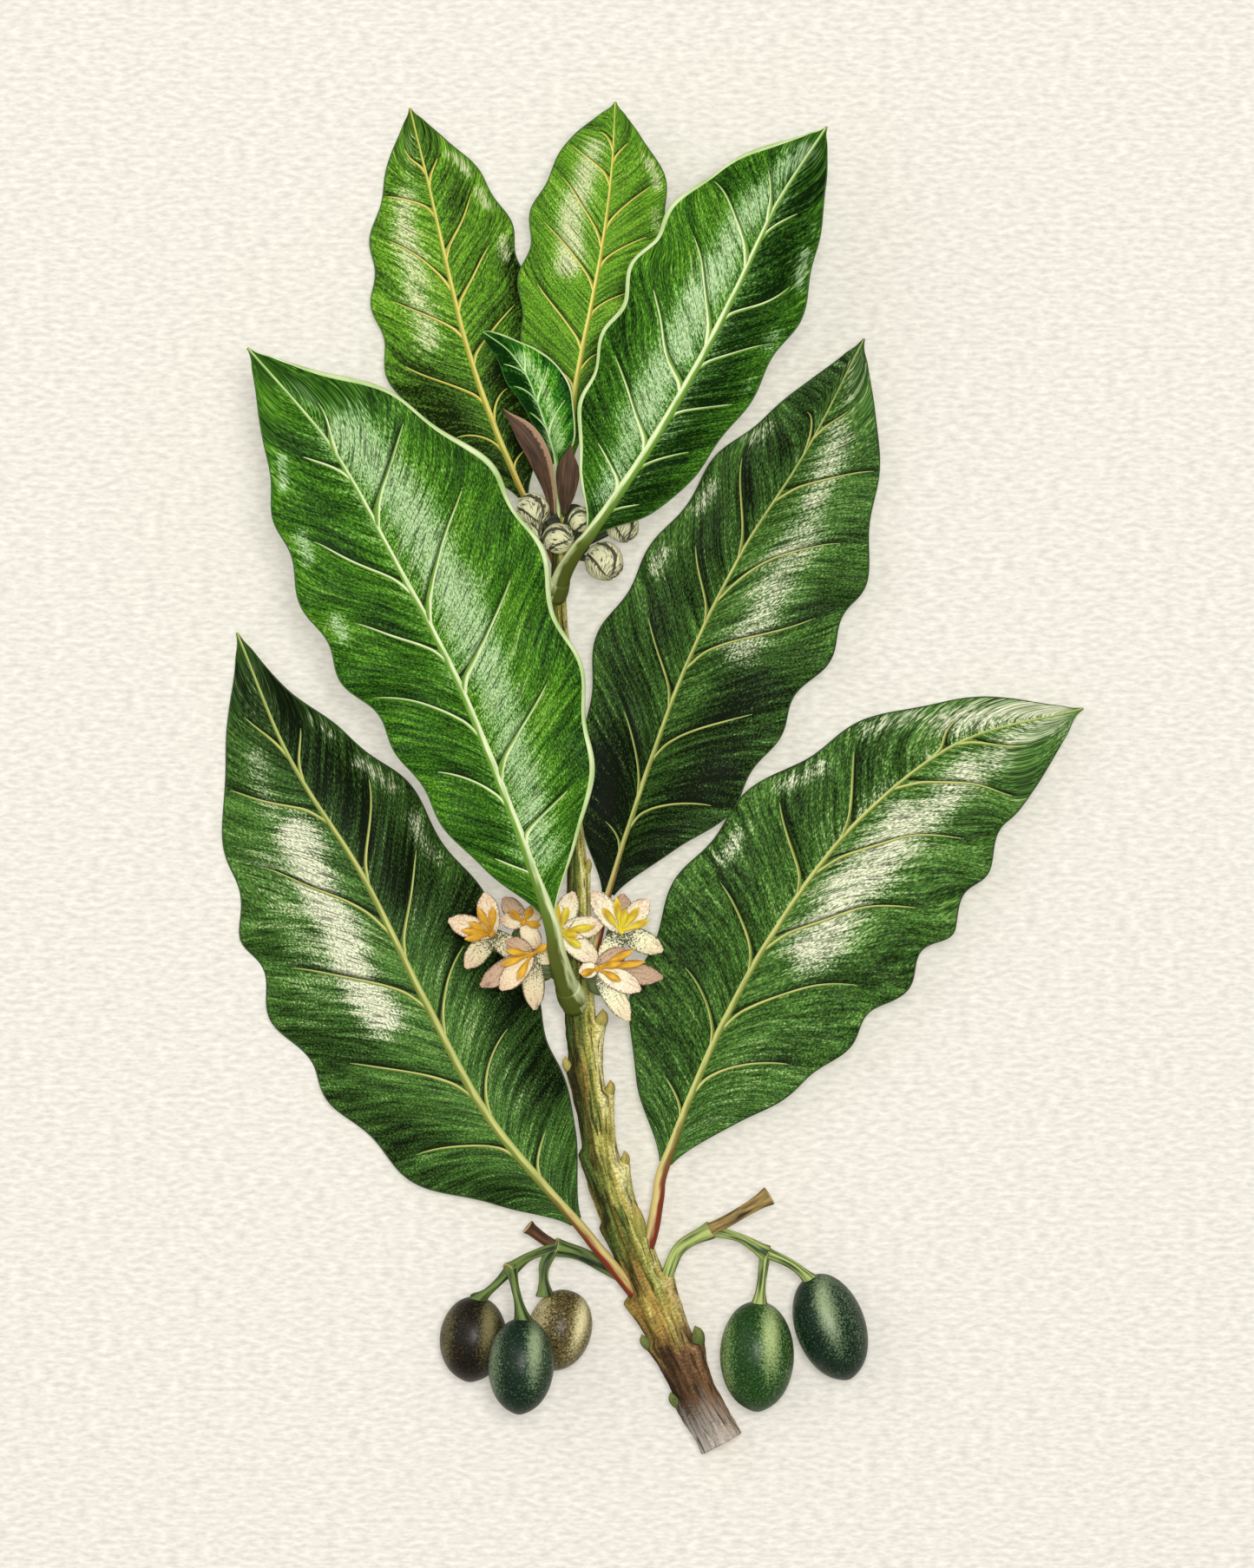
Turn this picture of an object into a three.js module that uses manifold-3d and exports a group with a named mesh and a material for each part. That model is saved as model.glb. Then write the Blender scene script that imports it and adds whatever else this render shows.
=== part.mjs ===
// Flowering and fruiting bay laurel branch, cut from the bush and laid down on a flat surface.
// Millimetres, +Z up. The branch runs along +Y from its cut end to its tip, and lies on z = 0.
// Places are given in the branch's own plan, whose x = 0, y = 0 is the middle of the spread branch.
// The last lines move the whole branch so that its origin is the middle of its base on the surface.
import * as THREE from "three";
import { mergeVertices } from "three/addons/utils/BufferGeometryUtils.js";
import Module from "manifold-3d";

const wasm = await Module();
wasm.setup();

// ---------------------------------------------------------------- driving sizes

// A leaf between its veins, thicker than life so that it stays a sound solid.
const BLADE_THICKNESS = 0.8;
const BLADE_STATIONS = 22; // cross sections along a full-grown leaf
const PETIOLE_STATIONS = 4;
const ACROSS = [-1, -0.68, -0.34, 0, 0.34, 0.68, 1]; // places across a leaf, -1 and 1 being its margins
const JOINT_GAP = 0.3; // between pieces that grow from one another
const STEM_SIDES = 12;
const STEM_STATIONS = 38;

// Colours of the fresh plant.
const LEAF_DARK = "#35592a";
const LEAF_MID = "#41702c";
const LEAF_YOUNG = "#5c8f33";
const BARK = "#7d7a3f";
const STALK_GREEN = "#6f8a3a";
const BRACT_BROWN = "#6b4a34";
const BUD_CREAM = "#cfcf97";
const TEPAL_CREAM = "#efdcc8";
const STAMEN_YELLOW = "#e9b92c";
const BERRY_GREEN = "#3f6b3c";
const BERRY_DARK = "#2a3b31";
const BERRY_BROWN = "#4a4326";

// ---------------------------------------------------------------- small helpers

const vector = (p) => new THREE.Vector3(...p);

// The smooth line through a few points.
function lineThrough(points) {
  return new THREE.CatmullRomCurve3(points.map(vector), false, "catmullrom");
}

// A value at t from 0 to 1, read smoothly (Catmull-Rom) from a few values at equal steps.
function readAt(values, t) {
  const place = t * (values.length - 1);
  const i = Math.min(Math.floor(place), values.length - 2);
  const f = place - i;
  const from = values[i];
  const to = values[i + 1];
  const slopeIn = (to - (values[i - 1] ?? from)) / 2;
  const slopeOut = ((values[i + 2] ?? to) - from) / 2;
  const bend = 3 * (to - from) - 2 * slopeIn - slopeOut;
  const turn = slopeIn + slopeOut - 2 * (to - from);
  return from + f * (slopeIn + f * (bend + f * turn));
}

function solidOf(geometry) {
  const bare = geometry.clone();
  bare.deleteAttribute("normal");
  bare.deleteAttribute("uv");
  const merged = mergeVertices(bare, 1e-3);
  const mesh = new wasm.Mesh({
    numProp: 3,
    vertProperties: merged.attributes.position.array,
    triVerts: new Uint32Array(merged.index.array),
  });
  return new wasm.Manifold(mesh);
}

function geometryOf(solid) {
  const mesh = solid.getMesh();
  const geometry = new THREE.BufferGeometry();
  geometry.setAttribute("position", new THREE.BufferAttribute(mesh.vertProperties, 3));
  geometry.setIndex(new THREE.BufferAttribute(mesh.triVerts, 1));
  geometry.computeVertexNormals();
  return geometry;
}

const join = (solids) => solids.reduce((whole, solid) => whole.add(solid));
const cut = (solid, cutters) => cutters.reduce((rest, cutter) => rest.subtract(cutter), solid);

// A closed skin over rings of points, all with the same number of points, closed by a fan at each end.
function skinOver(rings) {
  const count = rings[0].length;
  const positions = [];
  const faces = [];
  for (const point of rings.flat()) {
    positions.push(point.x, point.y, point.z);
  }
  for (let r = 0; r + 1 < rings.length; r++) {
    for (let k = 0; k < count; k++) {
      const a = r * count + k;
      const b = r * count + ((k + 1) % count);
      faces.push(a, b, a + count, b, b + count, a + count);
    }
  }
  const last = (rings.length - 1) * count;
  const ends = [rings[0], rings[rings.length - 1]];
  ends.forEach((ring, end) => {
    const middle = ring.reduce((sum, p) => sum.add(p), new THREE.Vector3()).divideScalar(count);
    const m = positions.length / 3;
    positions.push(middle.x, middle.y, middle.z);
    for (let k = 0; k < count; k++) {
      const next = (k + 1) % count;
      const corners = end === 0 ? [m, next, k] : [m, last + k, last + next];
      faces.push(...corners);
    }
  });
  const geometry = new THREE.BufferGeometry();
  geometry.setAttribute("position", new THREE.Float32BufferAttribute(positions, 3));
  geometry.setIndex(faces);
  const solid = solidOf(geometry);
  if (solid.volume() > 0) return solid;
  geometry.index.array.reverse();
  return solidOf(geometry);
}

// A round limb along a line. radii are read along it, and shape may change a ring point by its angle.
function limb({ points, radii, sides = 7, stations = 8, spare = 0, shape = () => 1 }) {
  const line = lineThrough(points);
  const frames = line.computeFrenetFrames(stations, false);
  const rings = [];
  for (let s = 0; s <= stations; s++) {
    const u = s / stations;
    const centre = line.getPointAt(u);
    const ring = [];
    for (let k = 0; k < sides; k++) {
      const angle = (k / sides) * 2 * Math.PI;
      const reach = readAt(radii, u) * shape(angle, u) + spare;
      const point = centre.clone();
      point.addScaledVector(frames.normals[s], Math.cos(angle) * reach);
      point.addScaledVector(frames.binormals[s], Math.sin(angle) * reach);
      point.z = Math.max(point.z, 0);
      ring.push(point);
    }
    rings.push(ring);
  }
  return skinOver(rings);
}

// An egg-shaped body of half-lengths size, whose long y axis points along direction.
function egg({ at, size, direction = [0, 1, 0], around = 10, rows = 7, spare = 0 }) {
  const geometry = new THREE.SphereGeometry(1, around, rows);
  geometry.scale(size[0] + spare, size[1] + spare, size[2] + spare);
  const turn = new THREE.Quaternion();
  turn.setFromUnitVectors(new THREE.Vector3(0, 1, 0), vector(direction).normalize());
  geometry.applyQuaternion(turn);
  geometry.translate(...at);
  const place = geometry.attributes.position;
  for (let i = 0; i < place.count; i++) {
    place.setZ(i, Math.max(place.getZ(i), 0));
  }
  return solidOf(geometry);
}

const branch = new THREE.Group();
branch.name = "bay_laurel_branch";

function addPiece(name, solid, color, roughness) {
  const material = new THREE.MeshStandardMaterial({ color, roughness, metalness: 0 });
  const mesh = new THREE.Mesh(geometryOf(solid), material);
  mesh.name = name;
  branch.add(mesh);
}

// ---------------------------------------------------------------- stem

const STEM_LINE = [
  [13.1, -91, 2.5],
  [9.6, -84.5, 2.4],
  [6.3, -77, 2.7],
  [2.6, -68.5, 3.5],
  [-0.8, -60, 4.1],
  [-3.6, -51, 4.7],
  [-5.8, -38, 5.6],
  [-6.6, -29, 6.2],
  [-6.8, -12, 7.0],
  [-7.8, 2, 8.0],
  [-8.4, 14, 9.2],
  [-9.4, 26, 10.4],
  [-9.2, 36.6, 12.0],
];
const STEM_RADII = [3.1, 2.75, 2.85, 2.7, 2.45, 2.2, 2.15, 1.95, 1.5, 1.0, 0.95, 1.0, 1.0, 0.8];
const STEM_RIDGE_DEPTH = 0.06; // of the radius

// The dormant buds and old leaf scars along the stem: how far along it, on which side of it
// (degrees, 0 = right, 90 = up, 180 = left), the bud's length and size (none on a scar), and how
// far the ledge below it stands out from the bark.
const STEM_BUDS = [
  { along: 0.064, side: 165, length: 2.0, size: 0.85, ledge: 0.4 },
  { along: 0.115, side: 12, length: 2.6, size: 1.0, ledge: 1.2 },
  { along: 0.131, side: 168, length: 2.1, size: 0.85, ledge: 0.9 },
  { along: 0.176, side: 170, ledge: 0.7 },
  { along: 0.253, side: 38, length: 5.3, size: 0.8, ledge: 0.4 },
  { along: 0.257, side: 168, ledge: 0.6 },
  { along: 0.32, side: 12, length: 2.1, size: 0.7, ledge: 1.1 },
  { along: 0.335, side: 170, ledge: 0.8 },
  { along: 0.398, side: 10, length: 2.1, size: 0.75, ledge: 1.1 },
  { along: 0.43, side: 168, length: 1.9, size: 0.7, ledge: 0.6 },
  { along: 0.474, side: 10, length: 2.4, size: 0.95, ledge: 1.3 },
  { along: 0.635, side: 20, length: 1.8, size: 0.5, ledge: 0.4 },
  { along: 0.8, side: 5, length: 2.0, size: 0.5, ledge: 0.4 },
];
const LEDGE_LENGTH = 5; // how far down the stem a ledge runs out

function barkRidge(angle, u) {
  return 1 + STEM_RIDGE_DEPTH * Math.sin(4 * angle + 9 * u) * Math.sin(31 * u + 2 * angle);
}

function stemLimb(spare) {
  return limb({
    points: STEM_LINE,
    radii: STEM_RADII,
    sides: STEM_SIDES,
    stations: STEM_STATIONS,
    spare,
    shape: barkRidge,
  });
}

function stemBud({ along, side, length = 0, size = 0, ledge }) {
  const line = lineThrough(STEM_LINE);
  const centre = line.getPointAt(along);
  const forward = line.getTangentAt(along);
  const angle = THREE.MathUtils.degToRad(side);
  const right = new THREE.Vector3(forward.y, -forward.x, 0).normalize();
  const out = right.multiplyScalar(Math.cos(angle)).add(new THREE.Vector3(0, 0, Math.sin(angle)));
  const reach = readAt(STEM_RADII, along);
  const place = (away, ahead) =>
    centre.clone().addScaledVector(out, away).addScaledVector(forward, ahead).toArray();
  const below = -length / 2;
  const swelling = limb({
    points: [
      place(reach * 0.6, below - LEDGE_LENGTH),
      place(reach * 0.7 + ledge * 0.3, below - LEDGE_LENGTH / 2),
      place(reach * 0.7 + ledge, below + 0.3),
    ],
    radii: [0.4, 0.6, reach * 0.3],
    sides: 6,
    stations: 3,
  });
  if (!size) {
    return swelling;
  }
  const bud = limb({
    points: [
      place(reach * 0.8 + ledge * 0.4, below - 0.6),
      place(reach + ledge * 0.75, 0),
      place(reach + ledge * 0.85, length / 2),
    ],
    radii: [size * 0.6, size * 0.8, size * 0.25],
    sides: 6,
    stations: 3,
  });
  return join([swelling, bud]);
}

const stem = join([stemLimb(0), ...STEM_BUDS.map(stemBud)]);
const stemWithGap = stemLimb(JOINT_GAP);
addPiece("stem", stem, BARK, 0.8);

// ---------------------------------------------------------------- leaves

// Each leaf: its midrib from the foot of the blade to the tip, its stalk from the stem to that foot,
// the half-width of each side at tenths of the midrib, how much each side falls (-) or rises (+)
// from the midrib towards its margin, and how many waves its margins have.
const LEAVES = [
  {
    name: "leaf_lower_left",
    color: LEAF_DARK,
    stalk: [[1.2, -70.4, 4.0], [-2.0, -66.4, 5.2], [-4.4, -63.5, 5.4]],
    midrib: [
      [-7, -60.3, 4.6], [-19, -46, 5.8], [-28, -29.5, 6],
      [-36.5, -12.5, 5.3], [-46.5, 3.5, 3.8], [-53.9, 20.9, 0.8],
    ],
    left: [0.8, 7.1, 13.9, 16.8, 18.8, 19.3, 18.2, 15.4, 10.2, 4.6, 0.4],
    right: [0.8, 8.2, 11.6, 13.3, 13.9, 13, 12, 11, 8, 3.2, 0.4],
    rise: { left: -0.26, right: -0.32 },
    waves: { left: 7, right: 6 },
  },
  {
    name: "leaf_lower_right",
    color: LEAF_DARK,
    stalk: [[1.4, -67.5, 4.6], [4.1, -61.5, 4.6], [4.7, -57, 4.4]],
    midrib: [
      [4.9, -52, 4], [12, -35.7, 2], [20.6, -20, 0.7],
      [31.5, -5.6, 0.5], [45.7, 5.6, 1.4], [62.9, 10.4, 4],
    ],
    left: [0.8, 7.7, 12.4, 14.1, 14.7, 14.2, 11.8, 9.6, 6.3, 3.2, 0.4],
    right: [0.8, 7.3, 13.5, 16.3, 18.2, 19, 18.7, 16.7, 13.3, 9, 0.4],
    rise: { left: 0.22, right: 0.26 },
    waves: { left: 6, right: 7 },
  },
  {
    name: "leaf_front",
    color: LEAF_MID,
    stalk: [[-7.1, -30.6, 7.4], [-8.4, -27.2, 11.2], [-9.6, -23, 15.2]],
    midrib: [
      [-10.7, -17.8, 18], [-16.6, -1.5, 20], [-23.4, 14.8, 21],
      [-31.6, 30.5, 22], [-40.2, 45.8, 22.6], [-51.5, 59.2, 22],
    ],
    left: [0.8, 6.1, 9.3, 10.7, 12.2, 13.8, 13.4, 12.2, 9.9, 5.2, 0.4],
    right: [0.8, 7.1, 12.5, 14.9, 16, 17.3, 18, 15.4, 11.1, 4.8, 0.4],
    rise: { left: 0.14, right: 0.26 },
    waves: { left: 7, right: 6 },
  },
  {
    name: "leaf_right",
    color: LEAF_DARK,
    stalk: [[-6.3, -30.5, 5.2], [-5.0, -25.5, 5.4], [-3.8, -20.5, 5.2]],
    midrib: [
      [-2.6, -15.1, 4.4], [2.5, 0.9, 2.4], [8.4, 16.8, 0.9],
      [15.9, 32, 0.5], [25, 46.4, 1.3], [32.7, 61.4, 3.8],
    ],
    left: [0.8, 6.4, 8.9, 11.1, 12.4, 11.4, 10.3, 9.7, 7.6, 3.9, 0.4],
    right: [0.8, 6.9, 12.7, 14.3, 15.7, 16.7, 17, 15, 10.7, 5.8, 0.4],
    rise: { left: 0.2, right: 0.26 },
    waves: { left: 6, right: 6 },
  },
  {
    name: "leaf_top_left",
    color: LEAF_YOUNG,
    stalk: [[-9.4, 29.5, 10], [-10.8, 33, 9.6], [-12.3, 36.2, 9]],
    midrib: [
      [-14.2, 39.6, 8], [-18.5, 49.8, 7.4], [-22.1, 60.4, 6.2],
      [-24.8, 71.3, 4.8], [-27.3, 82.3, 3], [-30, 93.4, 0.6],
    ],
    left: [0.7, 4.2, 8.2, 10.5, 11.2, 11, 10.4, 9.1, 6.7, 3.8, 0.4],
    right: [0.7, 4.7, 6.6, 7.9, 9.3, 9.9, 9.9, 9.1, 7.3, 3.8, 0.4],
    rise: { left: -0.26, right: -0.34 },
    waves: { left: 6, right: 6 },
  },
  {
    name: "leaf_top_middle",
    color: LEAF_YOUNG,
    stalk: [[-9.2, 34.5, 10.6], [-8.9, 38.2, 10.4], [-8.4, 41.6, 10.6]],
    midrib: [
      [-8, 45, 10.8], [-7, 54.8, 11.2], [-5.1, 64.5, 10.8],
      [-3.3, 74.2, 9.8], [-2.1, 84, 8.2], [-1.6, 93.9, 5.4],
    ],
    left: [0.7, 2.9, 5.7, 8.6, 9.6, 10.2, 10, 9.7, 8, 5.3, 0.4],
    right: [0.7, 2.3, 4, 5.2, 6.4, 7.4, 8, 8, 6.9, 3.7, 0.4],
    rise: { left: -0.24, right: -0.3 },
    waves: { left: 5, right: 5 },
  },
  {
    name: "leaf_top_right",
    color: LEAF_MID,
    stalk: [[-9.8, 25.5, 10.8], [-8.6, 29, 14], [-6.5, 32.3, 17.4]],
    midrib: [
      [-4.6, 34.6, 19], [2.7, 45.3, 21], [9.2, 56.2, 22],
      [15, 67.4, 22.2], [20.4, 78.8, 21], [27.2, 89.5, 18.2],
    ],
    left: [0.9, 6.4, 10.2, 12.1, 12.8, 13.4, 13.4, 12.1, 9.3, 4.5, 0.4],
    right: [0.9, 5.2, 6.8, 7.8, 8.2, 8.7, 9.1, 8.3, 6.5, 4, 0.4],
    rise: { left: -0.2, right: -0.42 },
    waves: { left: 6, right: 5 },
  },
  {
    name: "leaf_young",
    color: LEAF_YOUNG,
    stations: 12,
    ribShare: 0.6,
    stalk: [[-9.2, 35.4, 12], [-9.3, 38.6, 12.8], [-9.5, 41.2, 13.6]],
    midrib: [
      [-9.6, 43.8, 14.2], [-10.7, 47.9, 14.8], [-12.1, 51.9, 15.2],
      [-13.7, 55.8, 15.2], [-16.2, 59.2, 15], [-19.7, 61.8, 14],
    ],
    left: [0.5, 0.8, 1.2, 1.7, 2, 2.4, 2.7, 2.4, 1.9, 1.3, 0.4],
    right: [0.5, 2.7, 3.7, 4.3, 4.6, 4.3, 3.7, 2.8, 1.6, 0.9, 0.4],
    rise: { left: 0.7, right: 0.2 },
    waves: { left: 2, right: 2 },
  },
];
const MARGIN_WAVE = { reach: 0.05, height: 0.06 }; // of the half-width there
const BLADE_ARCH = 0.07; // how far each side bulges up between midrib and margin, of its half-width
const RIB_RADII = [0.85, 0.8, 0.72, 0.62, 0.5, 0.42]; // the midrib, from the blade's foot to its tip

// One ring round a leaf at a place on its line: over the top from margin to margin, and back below.
function leafRing(leaf, centre, toLeft, t, rib) {
  const top = [];
  const below = [];
  for (const v of ACROSS) {
    const side = v > 0 ? "left" : "right";
    const share = Math.abs(v);
    const turns = 2 * Math.PI * leaf.waves[side] * t + (v > 0 ? 0 : 1.5);
    const wave = Math.sin(turns) * Math.sqrt(Math.sin(Math.PI * t));
    const width = readAt(leaf[side], t) * (1 + MARGIN_WAVE.reach * wave);
    const arch = BLADE_ARCH * 4 * share * (1 - share);
    const rise = leaf.rise[side] * share + arch + MARGIN_WAVE.height * wave * share ** 3;
    const away = share * width;
    const point = centre.clone().addScaledVector(toLeft, Math.sign(v) * away);
    point.z = Math.max(point.z + rise * width * Math.min(1, 12 * t), BLADE_THICKNESS / 2);
    const half = Math.max(BLADE_THICKNESS / 2, Math.sqrt(Math.max(0, rib * rib - away * away)));
    top.push(new THREE.Vector3(point.x, point.y, point.z + half));
    below.unshift(new THREE.Vector3(point.x, point.y, Math.max(point.z - half, 0)));
  }
  return [...top, ...below];
}

function leafSolid(leaf) {
  const stations = leaf.stations ?? BLADE_STATIONS;
  const midrib = lineThrough(leaf.midrib);
  const whole = lineThrough([...leaf.stalk, ...leaf.midrib]);
  const stalkShare = 1 - midrib.getLength() / whole.getLength();
  const rings = [];
  for (let s = -PETIOLE_STATIONS; s <= stations; s++) {
    const onStalk = s < 0;
    const t = onStalk ? 0 : s / stations;
    const u = onStalk ? stalkShare * (1 + s / PETIOLE_STATIONS) : stalkShare + (1 - stalkShare) * t;
    const along = whole.getTangentAt(u);
    const toLeft = new THREE.Vector3(-along.y, along.x, 0).normalize();
    const rib = readAt(RIB_RADII, t) * (leaf.ribShare ?? 1);
    rings.push(leafRing(leaf, whole.getPointAt(u), toLeft, t, rib));
  }
  return skinOver(rings);
}

for (const leaf of LEAVES) {
  addPiece(leaf.name, cut(leafSolid(leaf), [stemWithGap]), leaf.color, 0.45);
}

// ---------------------------------------------------------------- bracts at the tip

const BRACTS = [
  {
    name: "bract_left",
    line: [
      [-10.1, 36.8, 13.4], [-10.7, 40.4, 15.5], [-12, 44.6, 18],
      [-14, 48, 18.8], [-16.8, 50.9, 18.8],
    ],
    halfWidths: [0.4, 0.8, 1.4, 1.3, 0.4],
  },
  {
    name: "bract_right",
    line: [
      [-8.6, 36.9, 13.5], [-8.2, 40.4, 15.3], [-8, 43.6, 16.3],
      [-7.7, 46.2, 16.5],
    ],
    halfWidths: [0.4, 1.1, 1.4, 0.4],
  },
];
const BRACT_HOLLOW = 0.35; // how far a bract's sides curl up, of its half-width
const BRACT_THICKNESS = 0.7;
const BRACT_STATIONS = 6;

function bractSolid({ line, halfWidths }) {
  const path = lineThrough(line);
  const rings = [];
  for (let s = 0; s <= BRACT_STATIONS; s++) {
    const u = s / BRACT_STATIONS;
    const along = path.getTangentAt(u);
    const toLeft = new THREE.Vector3(-along.y, along.x, 0).normalize();
    const width = readAt(halfWidths, u);
    const top = [];
    const below = [];
    for (const v of [-1, -0.5, 0, 0.5, 1]) {
      const point = path.getPointAt(u).addScaledVector(toLeft, v * width);
      point.z += BRACT_HOLLOW * v * v * width;
      top.push(point.clone().setZ(point.z + BRACT_THICKNESS / 2));
      below.unshift(point.setZ(point.z - BRACT_THICKNESS / 2));
    }
    rings.push([...top, ...below]);
  }
  return skinOver(rings);
}

for (const bract of BRACTS) {
  addPiece(bract.name, cut(bractSolid(bract), [stemWithGap]), BRACT_BROWN, 0.75);
}

// ---------------------------------------------------------------- round flower buds under the tip

const BUD_CLUSTERS = [
  {
    name: "bud_cluster_left",
    root: [-9.8, 33.2, 12.4],
    balls: [
      { at: [-12.8, 37.5, 13.8], radius: 2.3 },
      { at: [-13.6, 34.6, 13.8], radius: 2 },
      { at: [-9.4, 33.6, 14.4], radius: 2.1 },
    ],
  },
  {
    name: "bud_cluster_right",
    root: [-8.8, 31.4, 11],
    balls: [
      { at: [-3.1, 30.5, 12.6], radius: 2.6 },
      { at: [-0.6, 35.4, 12.4], radius: 2.3 },
      { at: [-6.2, 36.2, 13.2], radius: 1.8 },
    ],
  },
];

// A ball of three scales that overlap at seams, on its short stalk from the cluster's root.
function budBall({ at, radius }, root) {
  const lobes = [0, 1, 2].map((k) => {
    const angle = (k + 0.5) * ((2 * Math.PI) / 3);
    const aside = 0.24 * radius;
    const centre = [at[0] + aside * Math.cos(angle), at[1] + aside * Math.sin(angle), at[2]];
    const size = [0.8 * radius, 0.84 * radius, 0.84 * radius];
    return egg({ at: centre, size, around: 7, rows: 4 });
  });
  const stalk = limb({ points: [root, at], radii: [0.45, 0.55], sides: 5, stations: 2 });
  return join([...lobes, stalk]);
}

const budPieces = BUD_CLUSTERS.map(({ name, root, balls }) => ({
  name,
  solid: cut(join(balls.map((ball) => budBall(ball, root))), [stemWithGap]),
}));
for (const { name, solid } of budPieces) {
  addPiece(name, solid, BUD_CREAM, 0.7);
}

// ---------------------------------------------------------------- open flowers

// Each bloom: its middle; for each tepal its direction (degrees, 0 = right, 90 = towards the tip of
// the branch), its length and how far it lies below the others; and for each stamen its direction
// and its length.
const BLOOMS = [
  {
    at: [-18.5, -20.6, 9.2],
    tepals: [[100, 5.8, 0], [162, 6.3, 0], [232, 5.9, 0], [322, 5.6, 0]],
    stamens: [[88, 3.8], [118, 4.2], [152, 3.6], [172, 4.2], [190, 3.8]],
  },
  {
    at: [-14.2, -19.0, 7.4],
    tepals: [[40, 3.4, 0], [130, 4.4, 0.7], [172, 3.2, 0], [298, 4.2, 0]],
    stamens: [[60, 2.4], [140, 2.6], [350, 2.4]],
  },
  {
    at: [-13.1, -23.3, 12.6],
    tepals: [[150, 3.8, 0.7], [212, 8.2, 0.7], [229, 6.4, 0], [274, 7.6, 0], [350, 3.4, 0]],
    stamens: [[60, 2.2], [170, 3.4], [199, 4.4], [242, 4.0]],
  },
  {
    at: [-9.3, -20.2, 10.2],
    tepals: [[70, 5.8, 0], [102, 4.4, 0], [10, 6.2, 0], [322, 6.8, 0]],
    stamens: [[70, 3.6], [98, 4.2], [8, 5.0], [324, 3.8], [350, 2.6]],
  },
  {
    at: [-0.8, -20.2, 11],
    tepals: [[88, 5.2, 0.7], [50, 5.8, 0], [126, 6.8, 0], [238, 4.8, 0], [335, 6.3, 0]],
    stamens: [[22, 4.2], [54, 4.2], [78, 3.2], [98, 4.8], [128, 4.2]],
  },
  {
    at: [-4.0, -25.2, 13.4],
    tepals: [[34, 4.6, 0.7], [352, 9.0, 0.7], [333, 6.6, 0], [301, 8.4, 0], [190, 2.6, 0]],
    stamens: [[200, 2.4], [28, 5.2], [8, 6.2], [332, 3.6], [14, 3.4]],
  },
];
const TEPAL_WIDTHS = [0.5, 1.45, 1.75, 1.3, 0.3]; // half-widths from root to tip
const TEPAL_LIFT = 0.34; // how steeply a tepal rises outwards
const TEPAL_LIFTED_LENGTH = 6.5; // a tepal longer than this rises no further
const TEPAL_THICKNESS = 0.65;

function tepal(at, [direction, length, below]) {
  const angle = THREE.MathUtils.degToRad(direction);
  const out = new THREE.Vector3(Math.cos(angle), Math.sin(angle), 0);
  const sideways = new THREE.Vector3(-out.y, out.x, 0);
  const slender = Math.min(1, 0.5 + length / 12);
  const rings = [];
  TEPAL_WIDTHS.forEach((fullWidth, s) => {
    const width = fullWidth * slender;
    const share = s / (TEPAL_WIDTHS.length - 1);
    const rise = TEPAL_LIFT * Math.min(length, TEPAL_LIFTED_LENGTH);
    const middle = vector(at).addScaledVector(out, share * length);
    const top = [];
    const under = [];
    for (const v of [-1, 0, 1]) {
      const point = middle.clone().addScaledVector(sideways, v * width);
      point.z += rise * (share - 0.55 * share * share) + 0.22 * width * v * v - below;
      top.push(point.clone().setZ(point.z + TEPAL_THICKNESS / 2));
      under.unshift(point.setZ(point.z - TEPAL_THICKNESS / 2));
    }
    rings.push([...top, ...under]);
  });
  return skinOver(rings);
}

// The rounded green cup under a bloom.
function receptacle({ at }, spare) {
  return egg({ at: [at[0], at[1], at[2] - 0.5], size: [1.3, 1.3, 1], around: 8, rows: 5, spare });
}

function bloomSolid(bloom) {
  return join([receptacle(bloom, 0), ...bloom.tepals.map((one) => tepal(bloom.at, one))]);
}

// The stamens of a bloom: slim straps that spread from one foot, each widest near its end.
function stamenSolid({ at, stamens }) {
  const foot = [at[0], at[1], at[2] + 1.25];
  const straps = stamens.map(([direction, length]) => {
    const angle = THREE.MathUtils.degToRad(direction);
    const step = (share, height) => {
      const away = share * length;
      return [foot[0] + away * Math.cos(angle), foot[1] + away * Math.sin(angle), foot[2] + height];
    };
    const points = [step(0.05, 0.05), step(0.45, 0.75), step(0.92, 1.4)];
    return limb({ points, radii: [0.3, 0.4, 0.5, 0.3], sides: 4, stations: 3 });
  });
  return join([egg({ at: foot, size: [0.5, 0.5, 0.4], around: 6, rows: 3 }), ...straps]);
}

BLOOMS.forEach((bloom, k) => {
  addPiece(`bloom_${k + 1}_tepals`, bloomSolid(bloom), TEPAL_CREAM, 0.65);
  addPiece(`bloom_${k + 1}_stamens`, stamenSolid(bloom), STAMEN_YELLOW, 0.6);
});

// The short green stalks that carry the blooms, from the stem up to under each bloom.
const FLOWER_STALKS = [
  { name: "flower_stalks_left", root: [-8.8, -27.2, 7.4], blooms: [0, 1, 2, 3] },
  { name: "flower_stalks_right", root: [-5, -27.2, 7.4], blooms: [4, 5] },
];
const STALK_END_UNDER_BLOOM = 1.2;
const STALK_ARCH = 0.5;
const receptaclesWithGap = BLOOMS.map((bloom) => receptacle(bloom, JOINT_GAP));

for (const { name, root, blooms } of FLOWER_STALKS) {
  const stalks = blooms.map((k) => {
    const [x, y, z] = BLOOMS[k].at;
    const end = [x, y, z - STALK_END_UNDER_BLOOM];
    const middle = root.map((value, axis) => (value + end[axis]) / 2);
    middle[2] += STALK_ARCH;
    return limb({ points: [root, middle, end], radii: [0.5, 0.42, 0.6], sides: 6, stations: 4 });
  });
  addPiece(name, cut(join(stalks), [stemWithGap, ...receptaclesWithGap]), STALK_GREEN, 0.6);
}

// ---------------------------------------------------------------- berries and their stalks

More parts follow.
